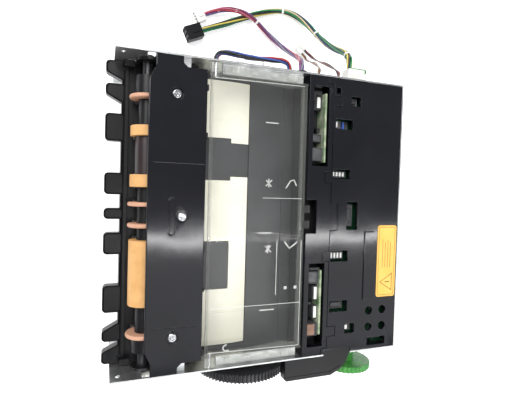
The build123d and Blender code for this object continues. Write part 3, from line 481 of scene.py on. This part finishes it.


# %% [markdown]
# ## The routes
# Each route starts at the plug, lies along the table, climbs the side of the module and ends in
# its header or grommet. The points are listed one by one, as a fitter would lay the harness.

# %% Routes of the cords
main_route = [
    (-0.040248, 0.166151, 0.005), (-0.028372, 0.171438, 0.005), (-0.0105, 0.180, 0.0032),
    (0.008, 0.189, 0.0031), (0.026, 0.1963, 0.0031), (0.043, 0.2002, 0.0031),
    (0.0585, 0.197, 0.0045), (0.069, 0.187, 0.0095), (0.075, 0.173, 0.020),
    (0.077, 0.1605, 0.035), (0.0763, 0.1505, 0.052), (0.0744, 0.143, 0.0685),
    (0.0723, 0.135, 0.079), (0.071, 0.130, 0.082), (0.071, 0.123, 0.082),
]
aux_route = [
    (-0.037227, 0.181913, 0.003), (-0.02928, 0.186138, 0.003), (-0.018, 0.1898, 0.0058),
    (-0.0045, 0.189, 0.0096), (0.009, 0.1845, 0.0096), (0.021, 0.1782, 0.0049),
    (0.033, 0.1702, 0.0034), (0.0415, 0.1605, 0.010), (0.0435, 0.1505, 0.025),
    (0.0405, 0.142, 0.043), (0.0345, 0.134, 0.061), (0.0285, 0.1275, 0.076),
    (0.0248, 0.1225, 0.084), (0.024, 0.119, 0.086), (0.024, 0.1155, 0.086),
]
lead_front_route = [
    (0.064513, 0.160667, 0.004), (0.068453, 0.157589, 0.004), (0.0673, 0.153, 0.009),
    (0.0643, 0.148, 0.020), (0.060, 0.1425, 0.034), (0.0545, 0.1362, 0.050),
    (0.049, 0.1295, 0.0655), (0.045, 0.1235, 0.077), (0.0425, 0.1195, 0.0815),
    (0.042, 0.117, 0.082), (0.042, 0.1145, 0.082),
]
lead_rear_route = [
    (0.067591, 0.164607, 0.004), (0.072319, 0.160913, 0.004), (0.0745, 0.1555, 0.010),
    (0.073, 0.1495, 0.021), (0.0695, 0.143, 0.036), (0.066, 0.1365, 0.0515),
    (0.063, 0.1295, 0.066), (0.0608, 0.1235, 0.0775), (0.0598, 0.1195, 0.083),
    (0.0595, 0.117, 0.084), (0.0595, 0.1145, 0.084),
]
side_route = [
    (-0.0465, 0.1135, 0.087), (-0.0465, 0.1185, 0.087), (-0.0405, 0.121, 0.088),
    (-0.0285, 0.1195, 0.089), (-0.0145, 0.1185, 0.0905), (-0.0025, 0.1195, 0.091),
    (0.0075, 0.1205, 0.089), (0.013, 0.118, 0.0875), (0.013, 0.1135, 0.0875),
]

# %% [markdown]
# ## The five harnesses
# The main one is yellow and cream by its plug and green, navy and black towards its header. The
# second is violet and red. Two brown leads share a small plug, and a short one is clipped along
# the side plate.

# %% Harnesses
main_ties, aux_ties = (0.34, 0.56, 0.86), (0.3,)
main_cable, main_line = wire_bundle(
    "main_cable_wires", main_route,
    ["black", "yellow", "dark_green", "green", "navy", "cream", "green", "black"],
    0.003, 0.00078, 1.3, main_ties,
)
aux_cable, aux_line = wire_bundle(
    "aux_cable_wires", aux_route,
    ["violet", "red", "violet", "grey", "purple", "wine", "rose"],
    0.0024, 0.00066, 1.7, aux_ties,
)
lead_front, lead_front_line = wire_bundle(
    "sensor_lead_front_wires", lead_front_route, ["brown", "tan", "brown"], 0.0014, 0.00055, 1.2,
)
lead_rear, lead_rear_line = wire_bundle(
    "sensor_lead_rear_wires", lead_rear_route, ["wine", "black", "brown"], 0.0015, 0.0006, 1.2,
)
side_harness, side_line = wire_bundle(
    "side_harness_wires", side_route, ["black", "navy", "red", "blue", "black"], 0.0022, 0.0007, 0.8,
)
for piece, node, slot_name in (
    (main_cable, "main_cable", "wire_dark"),
    (aux_cable, "aux_cable", "wire_violet"),
    (lead_front, "sensor_leads", "wire_brown"),
    (lead_rear, "sensor_leads", "wire_brown"),
    (side_harness, "side_harness", "wire_dark"),
):
    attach(piece, "chassis")
    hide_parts(node)
for name, line in (("main", main_line), ("aux", aux_line), ("front lead", lead_front_line),
                   ("rear lead", lead_rear_line), ("side", side_line)):
    print(name, "is", round(line_length(line) * 1000, 1), "mm long")

# %% [markdown]
# ## Working by hand, in code
# The next cells hold the few moves that every piece below uses: take a piece in hand, select some
# of its faces or edges by where they are, and apply a modifier.

# %% Moves for modelling
def take(piece):
    """The piece alone selected and active."""
    clear_selection()
    piece.select_set(True)
    bpy.context.view_layer.objects.active = piece


def settle(piece):
    """The piece's place, turn and size moved into its mesh."""
    take(piece)
    bpy.ops.object.transform_apply(location=True, rotation=True, scale=True)
    return piece


def pick_faces(piece, wanted):
    """Edit mode with only the wanted faces selected. wanted is given a face of the mesh."""
    take(piece)
    bpy.ops.object.mode_set(mode="EDIT")
    bpy.ops.mesh.select_mode(type="FACE")
    bpy.ops.mesh.select_all(action="DESELECT")
    shape = bmesh.from_edit_mesh(piece.data)
    count = 0
    for face in shape.faces:
        face.select_set(bool(wanted(face)))
        count += face.select
    shape.select_flush_mode()
    bmesh.update_edit_mesh(piece.data)
    return count


def leave_edit():
    """Back to object mode."""
    bpy.ops.object.mode_set(mode="OBJECT")


def round_edges(piece, width, segments=2, corner=38, clamp=False):
    """Bevel on every edge sharper than corner degrees, smooth shading, and flat faces kept flat.

    clamp keeps the bevel from passing a near edge, for shapes that would otherwise grow.
    """
    take(piece)
    modifier = piece.modifiers.new("edges", "BEVEL")
    modifier.width, modifier.segments = width, segments
    modifier.limit_method, modifier.angle_limit = "ANGLE", math.radians(corner)
    modifier.use_clamp_overlap = clamp
    bpy.ops.object.modifier_apply(modifier="edges")
    bpy.ops.object.shade_smooth_by_angle(angle=math.radians(corner + 12))
    flatten = piece.modifiers.new("flat_faces", "WEIGHTED_NORMAL")
    flatten.keep_sharp = True
    bpy.ops.object.modifier_apply(modifier="flat_faces")
    return piece


def dress(piece, finish, body):
    """One finish all over and the body it moves with."""
    piece.data.materials.clear()
    piece.data.materials.append(finish)
    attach(piece, body)
    return piece


# %% [markdown]
# ## Moulded copies
# The working model has knife-sharp edges. A moulded or stamped part never has: light catches its
# rounded edges, and that thin bright line is what makes it look solid. So each visible node is
# copied, its loose triangles are paired into clean faces, and every sharp edge is rounded.

# %% Copy a node with rounded edges
def clean_copy(node, name):
    """A node's copy with its points merged and its triangles paired into flat four-sided faces."""
    source = frame["nodes"][node]
    piece = bpy.data.objects.new(name, source.data.copy())
    scene.collection.objects.link(piece)
    take(piece)
    bpy.ops.object.mode_set(mode="EDIT")
    bpy.ops.mesh.select_all(action="SELECT")
    bpy.ops.mesh.remove_doubles(threshold=0.000002)
    bpy.ops.mesh.tris_convert_to_quads(
        face_threshold=math.radians(0.5), shape_threshold=math.radians(40),
    )
    leave_edit()
    return piece


def moulded(node, name, edge, finish, segments=2, clamp=False):
    """A node's rounded copy, which stands for the node."""
    piece = clean_copy(node, name)
    round_edges(piece, edge * mm, segments, clamp=clamp)
    dress(piece, finish, frame["nodes"][node]["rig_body"])
    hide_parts(node)
    return piece


# %% [markdown]
# ## Sheet metal and shafts
# Stamped sheet has a small rounded edge where the punch came in, so a narrow bevel is enough.

# %% Sheet metal and shafts
for node, edge, finish, slot_name in (
    ("side_plate_left", 0.18, zinc, "zinc_steel"),
    ("side_plate_right", 0.18, zinc, "zinc_steel"),
    ("rear_plate", 0.18, zinc, "zinc_steel"),
    ("base_plate", 0.18, zinc, "zinc_steel"),
    ("cover_beam", 0.2, zinc, "zinc_steel"),
    ("screws", 0.12, steel, "steel"),
    ("entry_shaft", 0.3, dark_steel, "steel"),
    ("drive_motor", 0.2, motor_metal, "motor_steel"),
):
    moulded(node, node + "_finished", edge, finish)

# %% [markdown]
# ## Rollers
# A ground rubber roller has a soft corner. Rings are rounder, almost like a cord round the shaft.

# %% Rollers
for node, edge, finish, slot_name in (
    ("entry_rollers", 0.35, tan_rubber, "tan_rubber"),
    ("entry_rings", 0.3, ring_rubber, "ring_rubber"),
    ("entry_sleeve", 0.3, brown_tube, "brown_plastic"),
    ("entry_hubs", 0.3, hub_plastic, "grey_plastic"),
):
    moulded(node, node + "_finished", edge, finish)

# %% [markdown]
# ## The gear side
# The gears are moulded too, with tiny edges so that the teeth stay crisp.

# %% Gears
for node in ("drive_gear", "front_idler_gear", "entry_idler_gear", "rear_idler_gear"):
    moulded(node, node + "_finished", 0.12, gear_plastic, 1)
for node in ("entry_gear", "feed_gear", "mid_gear", "exit_gear"):
    moulded(node, node + "_finished", 0.12, pale_gear, 1)
moulded("motor_pinion", "motor_pinion_finished", 0.1, steel, 1)
moulded("hand_wheel", "hand_wheel_finished", 0.18, green_wheel)

# %% [markdown]
# ## The toothed entry comb
# Each tooth of the comb is a shallow moulded tray: a rim runs round it and its floor lies lower.
# The tops are inset by the rim's width and the floor is pressed down.

# %% Entry comb
comb = clean_copy("entry_comb", "entry_comb_moulded")
tooth_top, rim_width, tray_depth = down(30), 1.3 * mm, 1.1 * mm
picked = pick_faces(
    comb,
    lambda face: face.normal.z > 0.9 and abs(face.calc_center_median().z - tooth_top) < 0.2 * mm
    and face.calc_center_median().x < back(9),
)
bpy.ops.mesh.inset(thickness=rim_width, use_even_offset=True)
bpy.ops.transform.translate(value=(0, 0, -tray_depth))
leave_edit()
round_edges(comb, 0.45 * mm, 2, clamp=True)
dress(comb, satin_black, "chassis")
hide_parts("entry_comb")
moulded("entry_guide", "entry_guide_moulded", 0.25, satin_black)
print("tooth tops", picked)

# %% [markdown]
# ## Covers
# The front cover, the rear cover and the sensor bridge between them are polished mouldings. The
# gear guard is satin.

# %% Covers
moulded("front_cover", "front_cover_polished", 0.2, polished_black)
moulded("rear_cover", "rear_cover_polished", 0.2, polished_black)
moulded("sensor_bridge", "sensor_bridge_moulded", 0.2, polished_black)
moulded("gear_guard", "gear_guard_moulded", 0.5, satin_black, 3, clamp=True)

# %% [markdown]
# ## Note guides
# The cream guides reflect light back to the sensors. The dark guide beside them is slate grey.

# %% Note guides
for node, edge, finish, slot_name in (
    ("lower_guide_cream", 0.25, cream, "cream_plastic"),
    ("lower_guide_dark", 0.25, slate_plastic, "grey_plastic"),
    ("rear_lower_guide", 0.25, satin_black, "black_plastic"),
    ("upper_image_sensor", 0.3, deep_black, "black_plastic"),
    ("lower_image_sensor", 0.3, deep_black, "black_plastic"),
):
    moulded(node, node + "_finished", edge, finish)

# %% [markdown]
# ## The clear window
# The window is one clear moulding. Its big sheet is nearly invisible and its ribs, rims and ears
# show as pale lines where they catch light, so faces that stand upright take a paler, less clear
# finish, a painted highlight. Its front edge catches the most light and is painted the palest.

# %% Window
window = clean_copy("window_guide", "window_clear")
round_edges(window, 0.25 * mm, 2, clamp=True)
dress(window, clear_sheet, "window")
# Upright faces and the ears beside the sheet get paler, less clear finishes as painted highlight; the
# front upright faces are painted palest.
window.data.materials.append(clear_rim_painted_highlight)
window.data.materials.append(clear_painted_highlight)
for face in window.data.polygons:
    upright = abs(face.normal.z) < 0.8
    beside_sheet = abs(face.center.y) > 103.6 * mm
    if upright and face.center.x < back(67.5):
        face.material_index = 2
    elif upright or beside_sheet:
        face.material_index = 1
    else:
        face.material_index = 0
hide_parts("window_guide")
print("window faces", len(window.data.polygons))

# %% [markdown]
# ## Plugs, header and small rubber parts
# These are small, so their rounding is small too.

# %% Plugs and header
main_plug = moulded(
    "main_cable_plug", "main_plug_moulded", 0.2, satin_black, clamp=True,
)
aux_plug = moulded("aux_cable_plug", "aux_plug_moulded", 0.2, nylon)
lead_plug = moulded("sensor_lead_plug", "sensor_plug_moulded", 0.2, nylon)
moulded("harness_header", "harness_header_moulded", 0.25, nylon)
moulded("cable_grommets", "cable_grommets_moulded", 0.3, black_rubber)
moulded("harness_clips", "harness_clips_moulded", 0.3, nylon)
moulded("sensor_boards", "sensor_boards_finished", 0.1, board_edge)
moulded("main_board", "main_board_finished", 0.1, board_green)
print("plugs", main_plug.name, aux_plug.name, lead_plug.name)

# %% [markdown]
# ## Sockets
# A connector is a block with a rim round its open top. The tops are inset and pressed in.

# %% Sockets on the boards
def open_sockets(node, name, rim, depth):
    """A node's blocks with a rim round each top and the middle pressed in, like sockets."""
    piece = clean_copy(node, name)
    tops = pick_faces(piece, lambda face: face.normal.z > 0.9)
    bpy.ops.mesh.inset(thickness=rim * mm, use_even_offset=True)
    bpy.ops.transform.translate(value=(0, 0, -depth * mm))
    leave_edit()
    round_edges(piece, 0.15 * mm, 1)
    dress(piece, socket_grey, "chassis")
    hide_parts(node)
    print(name, "tops", tops)


open_sockets("sensor_connectors", "sensor_sockets", 0.9, 1.4)
open_sockets("board_parts", "board_sockets", 0.9, 1.2)

# %% [markdown]
# ## The warning label
# A die-cut label has round corners, so only its four upright edges are bevelled.

# %% Warning label
label_corner = 2.2 * mm
label = clean_copy("warning_label", "warning_label_finished")
take(label)
bpy.ops.object.mode_set(mode="EDIT")
bpy.ops.mesh.select_mode(type="EDGE")
bpy.ops.mesh.select_all(action="DESELECT")
shape = bmesh.from_edit_mesh(label.data)
for edge in shape.edges:
    along = edge.verts[1].co - edge.verts[0].co
    edge.select_set(abs(along.z) > 0.9 * along.length)
bmesh.update_edit_mesh(label.data)
bpy.ops.mesh.bevel(offset=label_corner, segments=6)
leave_edit()
dress(label, label_yellow, "chassis")
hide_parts("warning_label")
print("label faces", len(label.data.polygons))

# %% [markdown]
# ## Nodes that keep their own shape
# Shafts, bushes and pins inside the module are right as they are, and only take a finish.

# %% Finishes for the other nodes
steel_nodes = (
    "tie_rods", "hinge_pins", "gear_axles", "feed_roller_shaft", "mid_roller_shaft", "exit_roller_shaft",
    "entry_pinch_rollers", "feed_pinch_rollers", "mid_pinch_rollers", "exit_pinch_rollers",
)
for node in (*steel_nodes, "shaft_bearings"):
    finish = steel if node in steel_nodes else deep_black
    mesh = frame["nodes"][node].data
    if not mesh.materials:
        mesh.materials.append(finish)
    for index in range(len(mesh.materials)):
        mesh.materials[index] = finish
print("nodes left as they are", len(steel_nodes) + 1)

# %% [markdown]
# ## Cable ties
# A tie is a flat white band with a small square head. It starts as a ring, is flattened along the
# cord, and a head block is joined on.

# %% Cable ties
band_thickness, head_sink, head_size = 0.0005, 0.0001, (0.0026, 0.0011, 0.0028)


def cable_tie(name, line, share, radius):
    """White band round a bundle at a share of its line, with its head on one side."""
    index = round(share * (len(line) - 1))
    ahead = (line[index + 1] - line[index - 1]).normalized()
    clear_selection()
    bpy.ops.mesh.primitive_torus_add(
        major_segments=28, minor_segments=8, major_radius=radius, minor_radius=band_thickness,
    )
    band = bpy.context.object
    band.scale = (1, 1, 2.2)
    settle(band)
    bpy.ops.mesh.primitive_cube_add(size=1, location=(0, head_sink - radius, 0), scale=head_size)
    head = bpy.context.object
    settle(head)
    round_edges(head, 0.0003, 2)
    take(head)
    band.select_set(True)
    bpy.context.view_layer.objects.active = band
    bpy.ops.object.join()
    band.name = name
    turn = ahead.to_track_quat("Z", "Y").to_matrix().to_4x4()
    band.matrix_world = Matrix.Translation(line[index]) @ turn
    settle(band)
    bpy.ops.object.shade_smooth_by_angle(angle=math.radians(40))
    return dress(band, nylon, "chassis")


main_tie_pieces = [
    cable_tie(f"main_tie_{number}", main_line, share, 0.0028)
    for number, share in enumerate(main_ties, 1)
]
aux_tie_pieces = [cable_tie("aux_tie", aux_line, aux_ties[0], 0.0022)]
print("ties", len(main_tie_pieces) + len(aux_tie_pieces))

# %% [markdown]

# %% [markdown]
# ## Blocks with soft edges
# Many small details are moulded bars, tabs and chips. Each starts as a box between two corners,
# gets its edges rounded, and similar ones are joined into one piece.

# %% A rounded bar
def bar(x0, x1, y0, y1, z0, z1, edge):
    """Rounded bar between two corners, in metres."""
    clear_selection()
    middle = ((x0 + x1) / 2, (y0 + y1) / 2, (z0 + z1) / 2)
    bpy.ops.mesh.primitive_cube_add(size=1, location=middle, scale=(x1 - x0, y1 - y0, z1 - z0))
    piece = settle(bpy.context.object)
    return round_edges(piece, edge, 2)


def plate_bar(x0, x1, y0, y1, deep, shallow, edge):
    """Rounded bar by distances behind and depths below, in millimetres."""
    return bar(back(x0), back(x1), y0 * mm, y1 * mm, down(deep), down(shallow), edge * mm)


def line_bar(start, end, width, low, high):
    """Straight bar between two points seen from above, in metres."""
    start, end = Vector((*start, 0)), Vector((*end, 0))
    along = end - start
    clear_selection()
    bpy.ops.mesh.primitive_cube_add(size=1, scale=(along.length + width, width, high - low))
    piece = settle(bpy.context.object)
    middle = (start + end) / 2
    turn = Matrix.Rotation(math.atan2(along.y, along.x), 4, "Z")
    piece.matrix_world = Matrix.Translation((middle.x, middle.y, (low + high) / 2)) @ turn
    return settle(piece)


def path_bars(points, width, deep, shallow):
    """Bars along a line of (distance behind, Y) points between two depths, in millimetres."""
    places = [(back(x), y * mm) for x, y in points]
    return [line_bar(a, b, width * mm, down(deep), down(shallow)) for a, b in zip(places, places[1:])]


def joined(name, pieces):
    """Several pieces made into one."""
    clear_selection()
    for piece in pieces:
        piece.select_set(True)
    bpy.context.view_layer.objects.active = pieces[0]
    if len(pieces) > 1:
        bpy.ops.object.join()
    result = bpy.context.object
    result.name = name
    return result


# %% [markdown]
# ## Marks moulded into the window
# The clear sheet carries fine ribs, two small raised arrows, grip marks and a hook. Each is a thin
# bar on the sheet's top, and they swing up with the window.

# %% Window marks
marks = []
for line in (
    [(68, -67.2), (140, -67.2)],
    [(68, -99.6), (140, -101.2)],
    [(68, 99.6), (139, 101.2)],
    [(119.5, -18.5), (119.5, -60)],
    [(140.2, -18.5), (140.2, -101)],
    [(91.5, 26.5), (91.5, -18)],
    [(107.0, 14.2), (139.0, 14.2)],
):
    marks += path_bars(line, 0.45, 1.1, 0.8)
for line in (
    [(125.8, 22.3), (129.2, 27.6), (132.2, 28.6), (134.4, 24.4)],
    [(126.0, -19.5), (130.0, -24.4), (136.0, -20.2)],
    [(109.2, 23.6), (113.6, 27.6)], [(109.4, 27.4), (113.2, 23.2)], [(111.4, 22.8), (111.2, 28.4)],
    [(110.0, -22.4), (114.2, -26.6)], [(110.2, -26.4), (114.0, -22.2)], [(112.2, -21.8), (111.8, -27.2)],
    [(80.9, -94.6), (78.9, -95.6), (78.5, -97.6), (80.2, -99.3), (82.6, -98.8)],
    [(108.0, 70.9), (117.5, 70.9)], [(107.0, -71.1), (118.0, -71.1)], [(104.0, -12.2), (114.5, -12.2)],
):
    marks += path_bars(line, 0.8, 1.1, 0.55)
dot_half, dots_y = 1.2, -55.0
for x in (127.5, 136.0):
    marks.append(
        plate_bar(x - dot_half, x + dot_half, dots_y - dot_half, dots_y + dot_half, 1.1, 0.6, 0.2)
    )
window_marks = joined("window_marks", marks)
# The marks take the palest finish, a painted highlight for the light along their edges.
dress(window_marks, clear_painted_highlight, "window")
print("window marks", len(marks))

# %% [markdown]
# ## Catches along the window
# Small catches line both long sides of the window, and black clips stand in the gap in front.

# %% Catches and clips
catches = []
for side in (-1, 1):
    for x0, x1, y0, y1, depth in (
        (80.5, 86.5, 104.6, 108.8, 0.8), (96.0, 101.0, 105.2, 107.6, 1.6),
        (112.0, 117.0, 105.2, 108.2, 1.2), (126.0, 133.0, 104.6, 108.8, 0.9),
    ):
        low, high = sorted((side * y0, side * y1))
        catches.append(plate_bar(x0, x1, low, high, 3.1, depth, 0.35))
window_catches = joined("window_catches", catches)
# The catches take the rim finish, a painted highlight for the light on their edges.
dress(window_catches, clear_rim_painted_highlight, "window")
clips = [
    plate_bar(62.5, 63.5, low, high, 7.0, 0.9, 0.25)
    for low, high in ((89.8, 94.0), (54.8, 60.0), (-26.0, -21.0), (-54.2, -51.8), (-101.2, -96.0))
]
gap_clips = joined("gap_clips", clips)
dress(gap_clips, deep_black, "chassis")
print("catches", len(catches), "clips", len(clips))

# %% [markdown]
# ## Small parts in the sensor bays
# Latch hooks, a flat cable's slider and pale sockets stand beside the sensor boards.

# %% Sensor bay parts
hooks = [
    plate_bar(148.0, 150.4, 91.5, 99.0, 8.0, 1.2, 0.4),
    plate_bar(150.0, 155.4, 96.8, 99.4, 8.0, 1.6, 0.4),
    plate_bar(148.6, 154.6, 102.0, 103.6, 8.0, 1.0, 0.3),
    plate_bar(152.0, 154.8, 66.6, 70.4, 8.0, 3.0, 0.4),
    plate_bar(148.6, 157.6, -42.6, -40.4, 9.0, 1.2, 0.3),
    plate_bar(149.0, 151.6, -70.4, -68.4, 9.0, 3.0, 0.3),
]
bay_hooks = joined("bay_hooks", hooks)
dress(bay_hooks, deep_black, "chassis")
sliders = [
    plate_bar(155.0, 157.4, -82.0, -72.8, 5.6, 4.2, 0.25),
    plate_bar(155.0, 157.4, -66.8, -57.0, 5.6, 4.2, 0.25),
    plate_bar(153.6, 156.6, 87.2, 95.8, 7.6, 6.3, 0.25),
]
bay_sliders = joined("bay_sliders", sliders)
dress(bay_sliders, nylon, "chassis")
bay_caps = joined("bay_connector_caps", [plate_bar(148.6, 155.6, -95.6, -86.8, 4.6, 3.1, 0.3)])
dress(bay_caps, socket_brown, "chassis")
print("hooks", len(hooks), "sliders", len(sliders))

# %% [markdown]
# ## What shows through the cover's windows
# Rows of pins, cable ends and the lids of small parts stand on the main board's parts.

# %% Parts under the cover's windows
pins, pin_pitch = [], 3.0
for row in range(4):
    step = pin_pitch * row
    pins.append(plate_bar(169.0 + step, 170.4 + step, 33.0, 36.4, 6.8, 4.6, 0.2))
    pins.append(plate_bar(169.2 + step, 170.5 + step, -34.0, -29.6, 6.2, 4.2, 0.2))
pins.append(plate_bar(170.2, 171.4, 72.6, 77.2, 5.8, 3.9, 0.2))
pins.append(plate_bar(184.6, 187.0, -94.0, -90.4, 5.8, 3.9, 0.3))
board_pins = joined("board_pins", pins)
dress(board_pins, nylon, "chassis")
cable_end = joined("board_cable_end", path_bars([(178.0, 72.8), (178.0, 77.0)], 1.6, 7.8, 5.9))
dress(cable_end, ribbon_blue, "chassis")
chips = [
    plate_bar(184.0, 188.0, -5.0, 7.0, 7.2, 5.4, 0.3),
    plate_bar(170.4, 180.0, -74.6, -70.8, 6.4, 4.4, 0.3),
    plate_bar(184.2, 187.6, 92.4, 95.8, 5.8, 3.8, 0.3),
]
board_chips = joined("board_chips", chips)
dress(board_chips, chip_black, "chassis")
print("pins", len(pins), "chips", len(chips))

# %% [markdown]
# ## The header's pins and cap
# The white header on the side has a row of pins, and a green cap where the cable's wires go in.

# %% Header pins and cap
header_pitch = 2.0
header_rows = [
    plate_bar(184.4 + header_pitch * row, 185.3 + header_pitch * row, 115.4, 118.6, 8.6, 7.6, 0.15)
    for row in range(4)
]
header_pins = joined("header_pins", header_rows)
dress(header_pins, cream, "chassis")
cap = plate_bar(187.0, 201.5, 119.8, 124.6, 15.0, 8.2, 2.0)
cap.name = "header_cap"
dress(cap, green_wheel, "chassis")
print("header pins", len(header_rows))

# %% [markdown]
# ## Ridge on the guard
# A low bead stiffens the guard along its outer edge.

# %% Guard bead
bead_line = [(132.0, -126.6), (170.0, -126.6), (178.6, -122.8)]
bead = joined("guard_bead", path_bars(bead_line, 0.9, 0.5, 0.1))
round_edges(bead, 0.12 * mm, 1)
dress(bead, satin_black, "chassis")
print("bead bars", len(bead_line) - 1)

# %% [markdown]
# ## Print on the label
# The label has a thin printed border, a warning triangle and rows of fine lines where its words
# would be. The print is a film just above the label and still inside its recess.

# %% Label print
label_low, label_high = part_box("warning_label")
ink_bottom, ink_top = label_high.z, label_high.z + 0.00004


def ink_line(start, end, width):
    """Thin printed line between two points of the label."""
    return line_bar(start, end, width, ink_bottom, ink_top)


def ink_loop(points, width):
    """Closed printed outline."""
    return [ink_line(a, b, width) for a, b in zip(points, points[1:] + points[:1])]


inset = 1.6 * mm
x0, x1 = label_low.x + inset, label_high.x - inset
y0, y1 = label_low.y + inset, label_high.y - inset
triangle_y, triangle_half = label_low.y + 12.5 * mm, 7.2 * mm
middle_x = (x0 + x1) / 2
ink = ink_loop([(x0, y0), (x1, y0), (x1, y1), (x0, y1)], 0.0004)
ink += ink_loop(
    [
        (x0 + 2.2 * mm, triangle_y),
        (x1 - 2.0 * mm, triangle_y - triangle_half),
        (x1 - 2.0 * mm, triangle_y + triangle_half),
    ],
    0.0006,
)
ink.append(ink_line((middle_x - 0.5 * mm, triangle_y), (middle_x + 3.4 * mm, triangle_y), 0.0009))
for row in range(4):
    x = x0 + (4.0 + 2.6 * row) * mm
    end = y1 - (11.0 + 2.0 * (row % 2)) * mm
    ink.append(ink_line((x, triangle_y + 12.5 * mm), (x, end), 0.00045))
label_print = joined("label_print", ink)
dress(label_print, label_ink, "chassis")
print("printed lines", len(ink))
